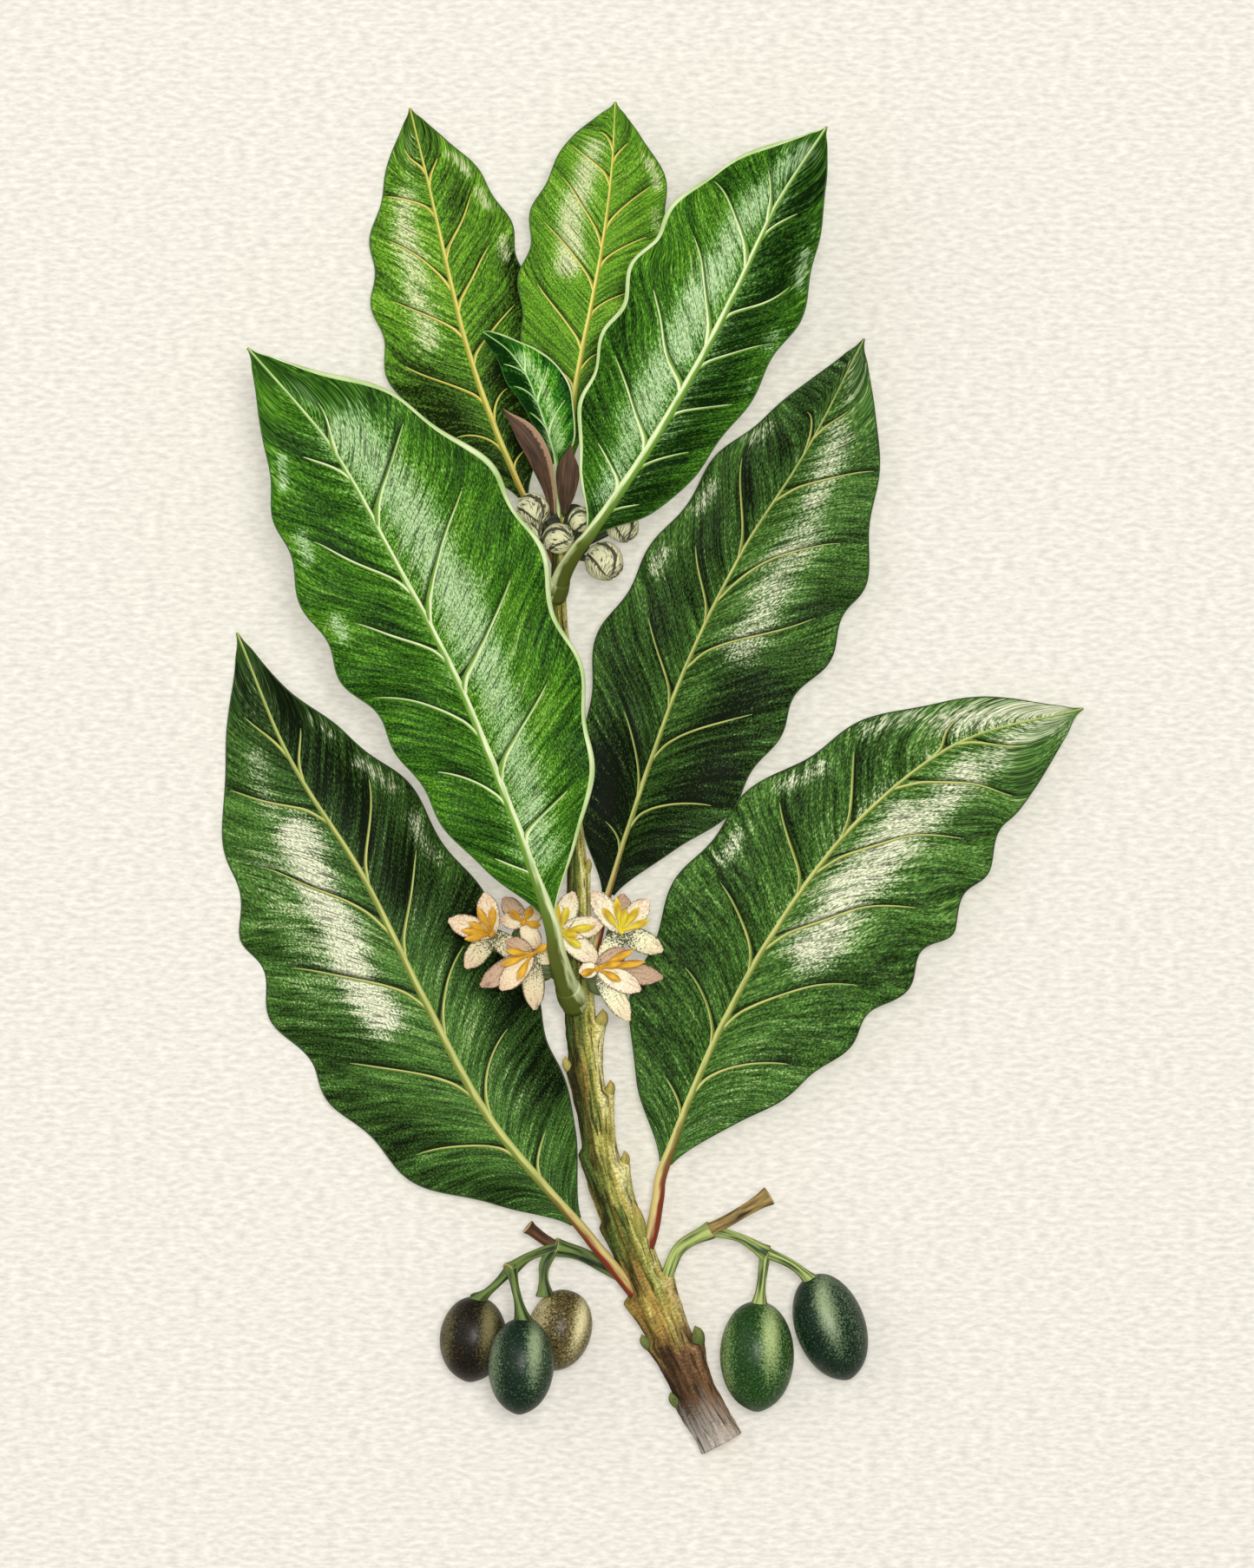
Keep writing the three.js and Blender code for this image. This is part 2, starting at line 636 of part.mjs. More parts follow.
const BERRIES = [
  {
    name: "berry_left_back",
    at: [-21.2, -76.4, 4.3],
    size: [4.6, 5.9, 4.5],
    direction: [0.1, 1, 0],
    color: BERRY_BROWN,
  },
  {
    name: "berry_left_right",
    at: [-9.3, -75.2, 4.3],
    size: [4.4, 5.7, 4.5],
    direction: [0.3, 1, 0],
    color: BERRY_BROWN,
  },
  {
    name: "berry_left_front",
    at: [-14.5, -79.6, 12],
    size: [4.5, 6.6, 4.6],
    direction: [0.05, 1, 0],
    color: BERRY_DARK,
  },
  {
    name: "berry_right_inner",
    at: [17.9, -78.7, 4.9],
    size: [5.1, 7.6, 5.1],
    direction: [0, 1, 0],
    color: BERRY_GREEN,
  },
  {
    name: "berry_right_outer",
    at: [28, -74.7, 4.7],
    size: [4.8, 7.6, 5],
    direction: [-0.36, 1, 0],
    color: BERRY_DARK,
  },
];
const BERRY_FACES = { around: 12, rows: 9 };

for (const berry of BERRIES) {
  addPiece(berry.name, egg({ ...berry, ...BERRY_FACES }), berry.color, 0.35);
}
const berriesWithGap = BERRIES.map((berry) => egg({ ...berry, ...BERRY_FACES, spare: JOINT_GAP }));

// Each arm: its line, and its radii from root to end. The last point of a berry's arm is in its top.
const FRUIT_STALKS = [
  {
    name: "fruit_stalk_left",
    arms: [
      {
        points: [[2.4, -69.6, 2.2], [-2.4, -67, 2.2], [-6.2, -64.9, 2.8], [-9.9, -63.8, 4]],
        radii: [1, 0.95, 0.95, 1],
      },
      {
        points: [[-9.4, -64, 4], [-11.6, -62.6, 4.4], [-13.7, -61, 4.8]],
        radii: [0.8, 0.75, 0.85],
      },
      {
        points: [[-9.5, -63.7, 4], [-13.4, -65, 6], [-16.2, -66.9, 8]],
        radii: [0.8, 0.6, 1],
      },
      {
        points: [[-16, -66.7, 7.6], [-18.2, -69, 6.8], [-20.6, -71.2, 4.8]],
        radii: [0.8, 0.6, 0.6, 1.1],
      },
      {
        points: [[-15.9, -66.7, 7.9], [-15.2, -69.5, 11], [-14.2, -73.8, 12]],
        radii: [0.8, 0.6, 0.65, 1.2],
      },
      {
        points: [[-9.9, -63.8, 4], [-11.4, -66.5, 5.2], [-11.3, -70.5, 4.8]],
        radii: [0.7, 0.8, 0.65, 1.1],
      },
    ],
  },
  {
    name: "fruit_stalk_right",
    arms: [
      {
        points: [[4.4, -72.6, 3.6], [5.8, -67, 4.4], [7.6, -63.6, 5.4], [11.6, -61.3, 6.2]],
        radii: [0.9, 0.85, 0.9, 1],
      },
      {
        points: [[11.2, -61.5, 6.2], [15, -59.4, 6.6], [19.6, -56.6, 7]],
        radii: [0.95, 0.85, 0.9, 1.15],
      },
      {
        points: [[11.2, -61.4, 6.2], [15.4, -62.4, 6.2], [19.2, -64.6, 6]],
        radii: [0.8, 0.65, 1],
      },
      {
        points: [[19, -64.4, 6], [18.6, -68, 5.9], [18.1, -72.4, 5.2]],
        radii: [0.8, 0.65, 0.7, 1.3],
      },
      {
        points: [[18.9, -64.4, 6], [22.8, -66.2, 5.9], [26.2, -69.2, 5.2]],
        radii: [0.8, 0.65, 0.7, 1.3],
      },
    ],
  },
];

for (const { name, arms } of FRUIT_STALKS) {
  const whole = join(arms.map((arm) => limb({ ...arm, sides: 6, stations: 5 })));
  addPiece(name, cut(whole, [stemWithGap, ...berriesWithGap]), STALK_GREEN, 0.6);
}

// ---------------------------------------------------------------- origin

branch.updateMatrixWorld(true);
const reach = new THREE.Box3().setFromObject(branch, true);
const middle = reach.getCenter(new THREE.Vector3());
branch.position.set(-middle.x, -middle.y, -reach.min.z);

export default branch;
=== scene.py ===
"""A flowering and fruiting bay laurel branch, cut from the bush and laid on a pale surface.

Every piece is drawn in millimetres in the branch's own plan and then moved into the frame of the
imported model. The leaves, buds, blooms, stalks and berries stand where their solids are.
"""

import bisect
import math

import bmesh
import bpy
from bpy.props import FloatProperty, FloatVectorProperty, IntProperty, PointerProperty
from bpy.types import Operator, Panel, PropertyGroup
from mathutils import Matrix, Vector, noise


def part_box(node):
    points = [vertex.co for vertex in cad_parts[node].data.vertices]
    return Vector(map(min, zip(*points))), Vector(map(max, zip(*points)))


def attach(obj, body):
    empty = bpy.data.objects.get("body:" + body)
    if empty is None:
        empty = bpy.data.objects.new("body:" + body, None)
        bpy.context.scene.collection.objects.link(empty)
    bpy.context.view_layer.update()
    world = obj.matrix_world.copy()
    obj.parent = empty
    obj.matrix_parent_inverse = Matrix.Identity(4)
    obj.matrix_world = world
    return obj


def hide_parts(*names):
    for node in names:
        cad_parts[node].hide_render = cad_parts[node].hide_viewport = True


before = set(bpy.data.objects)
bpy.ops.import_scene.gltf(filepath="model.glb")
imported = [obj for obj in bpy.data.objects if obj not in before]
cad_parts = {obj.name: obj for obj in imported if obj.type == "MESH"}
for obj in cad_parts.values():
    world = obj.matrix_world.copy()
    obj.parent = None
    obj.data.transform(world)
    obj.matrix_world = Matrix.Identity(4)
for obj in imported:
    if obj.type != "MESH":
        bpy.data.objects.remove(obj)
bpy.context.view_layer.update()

bl_info = {
    "name": "Bay laurel branch",
    "version": (1, 0, 0),
    "blender": (4, 5, 0),
    "location": "View3D > Sidebar > Laurel",
    "description": "Grows a cut bay laurel branch with leaves, buds, blooms and berries",
    "category": "Add Mesh",
}

MM = 0.001

# The middle of one berry in the branch's own plan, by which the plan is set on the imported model.
LANDMARK = ("berry_right_inner", Vector((17.9, -78.7)))
low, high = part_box(LANDMARK[0])
PLAN_SHIFT = (low + high).xy / 2 - LANDMARK[1] * MM
TO_FRAME = Matrix.Translation((PLAN_SHIFT.x, PLAN_SHIFT.y, 0)) @ Matrix.Scale(MM, 4)

# ---- The plant's measures, in mm

SIDES = {"left": 1, "right": -1}

# Each leaf has the thickness of its ribs and its lit side (1 = left), where its ribs and stalk carry
# a painted highlight strip, then its stalk and its midrib; some have a pale rolled margin, radii for
# the stalk's foot and neck, or finer patterns (scale). A side is how it falls (-) or rises (+) to its
# margin, how often the margin waves, its half-widths at tenths of the midrib, and its veins. Places
# are whole percents of the midrib and the half-width. A vein is where it leaves the midrib, a place on
# it and its end. A wash is a stroke between two places, left positive, with its half-width in mm and
# its strength: a painted highlight or sheen where it is pale (+), painted shade where it is deep (-).
LEAVES = {
    "leaf_lower_left": {
        "finish": "shaded", "ribs": 0.85, "lit": -1,
        "stalk": [(1.2, -70.4, 4), (-2, -66.4, 5.2), (-4.4, -63.5, 5.4)],
        "midrib": [
            (-7, -60.3, 4.6), (-19, -46, 5.8), (-28, -29.5, 6), (-36.5, -12.5, 5.3), (-46.5, 3.5, 3.8),
            (-53.9, 20.9, 0.8),
        ],
        "left": (-0.26, 7, [0.8, 7.1, 13.9, 16.8, 18.8, 19.3, 18.2, 15.4, 10.2, 4.6, 0.4], [
            (14, 18, 31, 21, 77), (25, 29, 23, 36, 73), (40, 46, 33, 52, 79), (52, 60, 29, 69, 75),
            (71, 76, 44, 80, 97), (82, 85, 26, 88, 58),
        ]),
        "right": (-0.32, 6, [0.8, 8.2, 11.6, 13.3, 13.9, 13, 12, 11, 8, 3.2, 0.4], [
            (9, 12, 38, 13, 52), (21, 27, 33, 30, 61), (35, 41, 35, 44, 63), (48, 54, 37, 59, 70),
            (60, 67, 48, 71, 73), (78, 80, 18, 83, 45),
        ]),
        "washes": [
            (40, 35, 70, 33, 3.3, 1.15), (74, 42, 82, 48, 2.2, 0.5), (48, 55, 68, 62, 6, 0.4),
            (30, 75, 44, 80, 5, -0.35), (88, 30, 94, 30, 2.4, 0.2), (6, 70, 22, 95, 6, -0.45),
            (26, 75, 36, 90, 4, -0.45), (55, -35, 92, -30, 6.5, -1), (20, -85, 50, -75, 5, -0.9),
            (57, -84, 63, -84, 1.3, 0.6), (68, -84, 74, -84, 1.3, 0.6), (80, -80, 84, -80, 1.1, 0.45),
            (20, -35, 50, -25, 3.5, 0.2),
        ],
    },
    "leaf_lower_right": {
        "finish": "shaded", "ribs": 0.9, "lit": 1,
        "stalk": [(2, -66.2, 4.6), (3.5, -61.4, 4.6), (4.3, -57, 4.4)],
        "midrib": [
            (5.3, -52.2, 4), (12, -35.7, 2), (20.6, -20, 0.7), (31.5, -5.6, 0.5), (45.7, 5.6, 1.4),
            (62.9, 10.4, 4),
        ],
        "left": (0.22, 6, [0.8, 7.7, 12.4, 14.1, 14.7, 14.2, 11.8, 9.6, 6.3, 3.2, 0.4], [
            (8, 11, 35, 12, 47), (21, 26, 35, 28, 62), (34, 39, 40, 41, 67), (48, 52, 42, 55, 72),
            (59, 64, 43, 67, 71), (78, 79, 31, 81, 52),
        ]),
        "right": (0.26, 7, [0.8, 7.3, 13.5, 16.3, 18.2, 19, 18.7, 16.7, 13.3, 9, 0.4], [
            (13, 18, 34, 22, 78), (24, 29, 21, 39, 74), (38, 47, 33, 57, 73), (52, 60, 22, 72, 70),
            (70, 77, 35, 86, 84), (82, 85, 16, 90, 36),
        ]),
        "washes": [
            (40, -30, 66, -28, 4, 1.05), (68, -33, 80, -33, 3.2, 0.85), (84, -30, 95, -10, 3, 0.75),
            (44, 82, 48, 82, 1.5, 0.7), (57, 84, 62, 84, 1.5, 0.7), (70, 86, 77, 86, 1.6, 0.6),
            (32, -70, 50, -85, 3.5, -0.3), (8, -50, 26, -60, 5, 0.2), (10, 40, 40, 50, 6, -0.3),
            (50, 40, 70, 35, 5, -0.35), (80, 50, 96, 40, 2.6, 0.85),
        ],
    },
    "leaf_front": {
        "finish": "lit", "ribs": 1.08, "lit": -1, "pale_margin": "right", "stalk_radii": (1.25, 1),
        "stalk": [(-7.1, -30.6, 7.4), (-8.4, -27.2, 11.2), (-9.6, -23, 15.2)],
        "midrib": [
            (-10.7, -17.8, 18), (-16.6, -1.5, 20), (-23.4, 14.8, 21), (-31.6, 30.5, 22),
            (-40.2, 45.8, 22.6), (-51.5, 59.2, 22),
        ],
        "left": (0.14, 7, [0.8, 6.1, 9.3, 10.7, 12.2, 13.8, 13.4, 12.2, 9.9, 5.2, 0.4], [
            (7, 9, 44, 11, 67), (19, 24, 39, 27, 73), (31, 36, 34, 42, 88), (44, 49, 33, 54, 65),
            (56, 63, 40, 68, 70), (76, 78, 17, 81, 41),
        ]),
        "right": (0.26, 6, [0.8, 7.1, 12.5, 14.9, 16, 17.3, 18, 15.4, 11.1, 4.8, 0.4], [
            (13, 16, 56, 17, 71), (24, 30, 49, 33, 68), (39, 45, 51, 49, 71), (51, 60, 47, 65, 73),
            (68, 75, 60, 77, 82), (81, 84, 20, 86, 30),
        ]),
        "washes": [
            (10, -22, 40, -28, 3.3, 0.85), (40, -28, 80, -28, 4.2, 1), (82, -30, 90, -25, 2, 0.45),
            (53, 84, 56, 82, 1.2, 0.75), (66, 84, 70, 82, 1.3, 0.85), (79, 80, 83, 80, 1.2, 0.75),
            (15, 35, 85, 30, 4.5, -0.45), (10, -90, 50, -95, 3, -0.3), (84, -75, 96, -40, 4, -0.55),
            (30, 95, 50, 95, 3, -0.3), (60, -90, 80, -90, 3, -0.3), (5, 60, 20, 80, 4, -0.3),
        ],
    },
    "leaf_right": {
        "finish": "shaded", "ribs": 0.65, "lit": 1,
        "stalk": [(-6.3, -30.5, 5.2), (-5, -25.5, 5.4), (-3.8, -20.5, 5.2)],
        "midrib": [
            (-2.6, -15.1, 4.4), (2.5, 0.9, 2.4), (8.4, 16.8, 0.9), (15.9, 32, 0.5), (25, 46.4, 1.3),
            (32.7, 61.4, 3.8),
        ],
        "left": (0.2, 6, [0.8, 6.4, 8.9, 11.1, 12.4, 11.4, 10.3, 9.7, 7.6, 3.9, 0.4], [
            (8, 10, 27, 11, 48), (18, 26, 38, 29, 56), (34, 41, 44, 44, 65), (49, 54, 36, 57, 55),
            (61, 69, 52, 73, 75), (81, 84, 20, 85, 43),
        ]),
        "right": (0.26, 6, [0.8, 6.9, 12.7, 14.3, 15.7, 16.7, 17, 15, 10.7, 5.8, 0.4], [
            (13, 17, 39, 19, 78), (25, 30, 31, 36, 71), (41, 48, 38, 56, 80), (53, 62, 27, 70, 74),
            (72, 77, 37, 82, 100), (84, 86, 18, 88, 36),
        ]),
        "washes": [
            (46, -36, 68, -36, 3.4, 0.75), (70, -34, 84, -34, 2.6, 0.7), (90, -30, 96, -20, 2, 0.4),
            (51, 84, 54, 82, 1.3, 0.65), (62, 86, 66, 84, 1.3, 0.65), (76, 85, 80, 85, 1.3, 0.55),
            (3, 40, 22, 45, 6.5, -1.3), (30, 50, 42, 50, 5, -0.6), (3, -50, 38, -60, 7, -0.95),
            (50, 35, 80, 35, 4.5, -0.65), (45, -80, 65, -85, 3, -0.4), (85, 40, 97, 40, 3, -0.5),
        ],
    },
    "leaf_top_left": {
        "finish": "fresh", "ribs": 0.62, "lit": -1,
        "stalk": [(-9.4, 29.5, 10), (-10.8, 33, 9.6), (-12.3, 36.2, 9)],
        "midrib": [
            (-14.2, 39.6, 8), (-18.5, 49.8, 7.4), (-22.1, 60.4, 6.2), (-24.8, 71.3, 4.8),
            (-27.3, 82.3, 3), (-30, 93.4, 0.6),
        ],
        "left": (-0.26, 6, [0.7, 4.2, 8.2, 10.5, 11.2, 11, 10.4, 9.1, 6.7, 3.8, 0.4], [
            (12, 17, 30, 19, 65), (26, 34, 52, 39, 78), (43, 48, 35, 54, 73), (55, 63, 36, 69, 76),
            (74, 78, 55, 80, 99), (85, 86, 17, 90, 52),
        ]),
        "right": (-0.34, 6, [0.7, 4.7, 6.6, 7.9, 9.3, 9.9, 9.9, 9.1, 7.3, 3.8, 0.4], [
            (7, 9, 30, 10, 53), (20, 25, 32, 26, 50), (36, 39, 27, 46, 78), (50, 56, 35, 62, 64),
            (63, 69, 33, 76, 70), (82, 84, 18, 86, 37),
        ]),
        "washes": [
            (43, 42, 64, 48, 2.4, 0.85), (64, 50, 78, 50, 2.2, 0.85), (83, 40, 92, 30, 1.4, 0.4),
            (59, -86, 63, -86, 1.1, 0.75), (72, -84, 76, -84, 1, 0.75), (81, -78, 86, -78, 1, 0.8),
            (5, 50, 30, 70, 5.5, -1), (2, -50, 30, -60, 5.5, -1.1), (86, 0, 98, 0, 3, -0.6),
            (40, -90, 58, -95, 2.4, -1), (70, -35, 90, -35, 2.6, -0.35), (40, -30, 60, -40, 3, -0.2),
        ],
    },
    "leaf_top_middle": {
        "finish": "fresh", "ribs": 0.55, "lit": 1,
        "stalk": [(-9.2, 34.5, 10.6), (-8.9, 38.2, 10.4), (-8.4, 41.6, 10.6)],
        "midrib": [
            (-8, 45, 10.8), (-7, 54.8, 11.2), (-5.1, 64.5, 10.8), (-3.3, 74.2, 9.8), (-2.1, 84, 8.2),
            (-1.6, 93.9, 5.4),
        ],
        "left": (-0.24, 5, [0.7, 2.9, 5.7, 8.6, 9.6, 10.2, 10, 9.7, 8, 5.3, 0.4], [
            (19, 22, 29, 23, 45), (31, 36, 34, 45, 76), (48, 55, 40, 63, 81), (60, 70, 40, 77, 81),
            (78, 83, 44, 87, 89), (88, 90, 19, 91, 42),
        ]),
        "right": (-0.3, 5, [0.7, 2.3, 4, 5.2, 6.4, 7.4, 8, 8, 6.9, 3.7, 0.4], [
            (23, 27, 23, 29, 42), (40, 45, 41, 47, 64), (54, 60, 42, 63, 71), (65, 71, 34, 77, 75),
            (84, 86, 21, 88, 43),
        ]),
        "washes": [
            (52, 42, 72, 48, 2.3, 1), (74, 45, 86, 40, 2, 0.85), (77, -84, 83, -80, 1, 0.8),
            (66, -86, 70, -86, 1, 0.6), (0, -50, 30, -60, 3, -0.5), (85, -30, 95, -30, 2, -0.2),
        ],
    },
    "leaf_top_right": {
        "finish": "lit", "ribs": 0.92, "lit": 1, "pale_margin": "left", "stalk_radii": (1.15, 1),
        "stalk": [(-9.8, 25.5, 10.8), (-8.6, 29, 14), (-6.5, 32.3, 17.4)],
        "midrib": [
            (-4.6, 34.6, 19), (2.7, 45.3, 21), (9.2, 56.2, 22), (15, 67.4, 22.2), (20.4, 78.8, 21),
            (27.2, 89.5, 18.2),
        ],
        "left": (-0.2, 6, [0.9, 6.4, 10.2, 12.1, 12.8, 13.4, 13.4, 12.1, 9.3, 4.5, 0.4], [
            (11, 14, 44, 16, 68), (22, 29, 54, 34, 79), (37, 45, 53, 52, 74), (48, 60, 40, 66, 65),
            (67, 76, 59, 78, 96), (78, 82, 21, 85, 48),
        ]),
        "right": (-0.42, 5, [0.9, 5.2, 6.8, 7.8, 8.2, 8.7, 9.1, 8.3, 6.5, 4, 0.4], [
            (4, 7, 32, 10, 61), (16, 22, 41, 25, 67), (30, 34, 42, 38, 79), (42, 47, 40, 52, 80),
            (54, 59, 40, 65, 72), (73, 78, 30, 80, 44),
        ]),
        "washes": [
            (8, 25, 25, 25, 2.2, 0.8), (25, 28, 62, 28, 3.2, 1), (62, 28, 80, 25, 2.6, 0.9),
            (82, 30, 93, 25, 1.8, 0.75), (5, -35, 92, -35, 4.2, -1), (66, -86, 73, -86, 1.1, 0.8),
            (52, -86, 55, -86, 1.2, 0.6), (42, -86, 44, -86, 1, 0.4), (78, -86, 80, -86, 1.2, 0.4),
            (15, 80, 50, 85, 3.5, -0.45), (80, 70, 95, 70, 3, -0.4),
        ],
    },
    "leaf_young": {
        "finish": "tender", "ribs": 0.5, "lit": 1, "pale_margin": "right", "scale": 0.45,
        "stalk": [(-9.2, 35.4, 12), (-9.3, 38.6, 12.8), (-9.5, 41.2, 13.6)],
        "midrib": [
            (-9.6, 43.8, 14.2), (-10.7, 47.9, 14.8), (-12.1, 51.9, 15.2), (-13.7, 55.8, 15.2),
            (-16.2, 59.2, 15), (-19.7, 61.8, 14),
        ],
        "left": (0.7, 2, [0.5, 0.8, 1.2, 1.7, 2, 2.4, 2.7, 2.4, 1.9, 1.3, 0.4], [
            (22, 30, 40, 36, 80), (42, 50, 40, 56, 80), (62, 69, 40, 74, 80),
        ]),
        "right": (0.2, 2, [0.5, 2.7, 3.7, 4.3, 4.6, 4.3, 3.7, 2.8, 1.6, 0.9, 0.4], [
            (20, 30, 45, 36, 80), (42, 52, 45, 58, 80), (62, 69, 40, 74, 75),
        ]),
        "washes": [
            (10, -30, 70, -30, 1.1, 1), (20, -62, 70, -60, 0.8, 0.3), (10, 50, 90, 50, 2, -1.3),
            (10, -90, 60, -95, 0.9, -0.6),
        ],
    },
}

STEM_LINE = [
    (13.1, -91, 2.5), (9.6, -84.5, 2.4), (6.3, -77, 2.7), (2.6, -68.5, 3.5), (-0.8, -60, 4.1),
    (-3.6, -51, 4.7), (-5.8, -38, 5.6), (-6.6, -29, 6.2), (-6.8, -12, 7), (-7.8, 2, 8),
    (-8.4, 14, 9.2), (-9.4, 26, 10.4), (-9.2, 36.6, 12),
]
STEM_RADII = [3.1, 2.75, 2.85, 2.7, 2.45, 2.2, 2.15, 1.95, 1.5, 1.0, 0.95, 1.0, 1.0, 0.8]
STEM_LENGTH = 132

# The dormant buds and old leaf scars along the stem: how far along it, on which side of it
# (degrees, 0 = right, 90 = up, 180 = left), the bud's length and size (none on a scar), and how
# far the ledge below it stands out.
STEM_BUDS = [
    (0.064, 165, 2, 0.85, 0.4), (0.115, 12, 2.6, 1, 1.2), (0.131, 168, 2.1, 0.85, 0.9),
    (0.176, 170, 0, 0, 1.1), (0.183, 12, 0, 0, 1.1), (0.253, 38, 5.3, 0.8, 0.4), (0.257, 168, 0, 0, 0.6),
    (0.32, 12, 2.1, 0.7, 1.1), (0.335, 170, 0, 0, 0.8), (0.398, 10, 2.1, 0.75, 1.1),
    (0.43, 168, 1.9, 0.7, 0.6), (0.474, 10, 2.4, 0.95, 1.3), (0.635, 20, 1.8, 0.5, 0.4),
    (0.8, 5, 2, 0.5, 0.4),
]

# Each bract: its line, its half-widths, and how far across it its tan inside begins to show.
BRACTS = {
    "bract_left": (
        [(-10.1, 36.8, 13.4), (-10.7, 40.4, 15.5), (-12, 44.6, 18), (-14, 48, 18.8), (-16.8, 50.9, 18.8)],
        [0.4, 0.9, 1.5, 1.45, 0.15], -0.5,
    ),
    "bract_right": (
        [(-8.6, 36.9, 13.5), (-8.2, 40.4, 15.3), (-8, 43.6, 16.3), (-7.7, 46.2, 16.5)],
        [0.4, 1.25, 1.55, 0.15], -1.5,
    ),
}

# Round flower buds: the place on the stem that a cluster grows from, the middle and size of its
# core, a dark ball that stands for their short shoot and for painted shade between the buds, then
# each bud's middle, its radius and the way its seams turn, in degrees.
BUD_CLUSTERS = {
    "bud_cluster_left": (
        (-9.8, 33.2, 12.4), (-10.5, 35.9, 11.4), (2.5, 3.3, 1.6),
        [((-12.8, 37.5, 13.8), 2.3, 40), ((-13.6, 34.6, 13.8), 2, 75), ((-9.4, 33.6, 14.4), 2.1, 100)],
    ),
    "bud_cluster_right": (
        (-8.8, 31.4, 11), (-7.3, 34.6, 10.8), (2.6, 3.8, 1.6),
        [((-3.1, 30.5, 12.6), 2.65, 25), ((-0.6, 35.4, 12.4), 2.3, 20), ((-6.2, 36.2, 13.2), 1.8, 110)],
    ),
}

# Each bloom: its middle, how far beside that its dark green cup lies, and the cup's radius (the cup
# is partly the flower's own and partly painted shade in the gaps between its tepals); for each
# tepal its direction (degrees, 0 = right, 90 = towards the tip of the branch), its length and
# whether it shows its inside (0), its back (1) or lies in shade (2), with painted shade in its
# colour; each stamen's direction and length.
BLOOMS = [
    (
        (-18.5, -20.6, 9.2), (0.6, -1), 1.6,
        [(100, 5.8, 0), (162, 6.3, 0), (232, 5.9, 1), (322, 5.6, 1)],
        [(88, 3.8), (118, 4.2), (152, 3.6), (172, 4.2), (190, 3.8)],
    ),
    (
        (-14.2, -19, 7.4), (0.3, -2.4), 2.1,
        [(40, 3.4, 0), (130, 4.4, 2), (172, 3.2, 0), (298, 4.2, 0)],
        [(60, 2.4), (140, 2.6), (350, 2.4)],
    ),
    (
        (-13.1, -23.3, 12.6), (1.3, -1.6), 2.2,
        [(150, 3.8, 2), (212, 8.2, 2), (229, 6.4, 0), (274, 7.6, 1), (350, 3.4, 1)],
        [(30, 2.6), (170, 3.4), (199, 4.4), (242, 4)],
    ),
    (
        (-9.3, -20.2, 10.2), (0.6, -0.6), 1.4,
        [(70, 5.8, 0), (102, 4.4, 0), (10, 6.2, 0), (322, 6.8, 0)],
        [(70, 3.6), (98, 4.2), (8, 5), (324, 3.8), (350, 2.6)],
    ),
    (
        (-0.8, -20.2, 11), (-0.6, -0.6), 1.5,
        [(88, 5.2, 2), (50, 5.8, 0), (126, 6.8, 0), (238, 5.2, 1), (335, 6.3, 1)],
        [(22, 4.2), (54, 4.2), (78, 3.2), (98, 4.8), (128, 4.2)],
    ),
    (
        (-4, -25.2, 13.4), (0.4, -1.8), 2,
        [(34, 4.6, 2), (352, 9, 2), (333, 6.6, 0), (301, 8.4, 1), (190, 2.6, 0)],
        [(200, 2.4), (28, 5.6), (8, 6.6), (332, 3.6), (14, 3.4)],
    ),
]
FLOWER_STALKS = {
    "flower_stalks_left": ((-8.8, -27.2, 7.4), [0, 1, 2, 3]),
    "flower_stalks_right": ((-5, -27.2, 7.4), [4, 5]),
}

# Each berry: its middle, its half-lengths across, along and up, the way to its stalk, its finish
# and its slot.
BERRIES = {
    "berry_left_back": ((-21.2, -76.4, 4.3), (4.6, 5.9, 4.5), (0.1, 1, 0), "brown", "berry_ripening"),
    "berry_left_right": ((-9.3, -75.2, 4.3), (4.4, 5.7, 4.5), (0.3, 1, 0), "olive", "berry_ripening"),
    "berry_left_front": ((-14.5, -79.6, 12), (4.5, 6.6, 4.6), (0.05, 1, 0), "ripe", "berry_dark"),
    "berry_right_inner": ((17.9, -78.7, 4.9), (5.1, 7.6, 5.1), (0, 1, 0), "green", "berry_green"),
    "berry_right_outer": ((28, -74.7, 4.7), (4.8, 7.6, 5), (-0.36, 1, 0), "ripe", "berry_dark"),
}
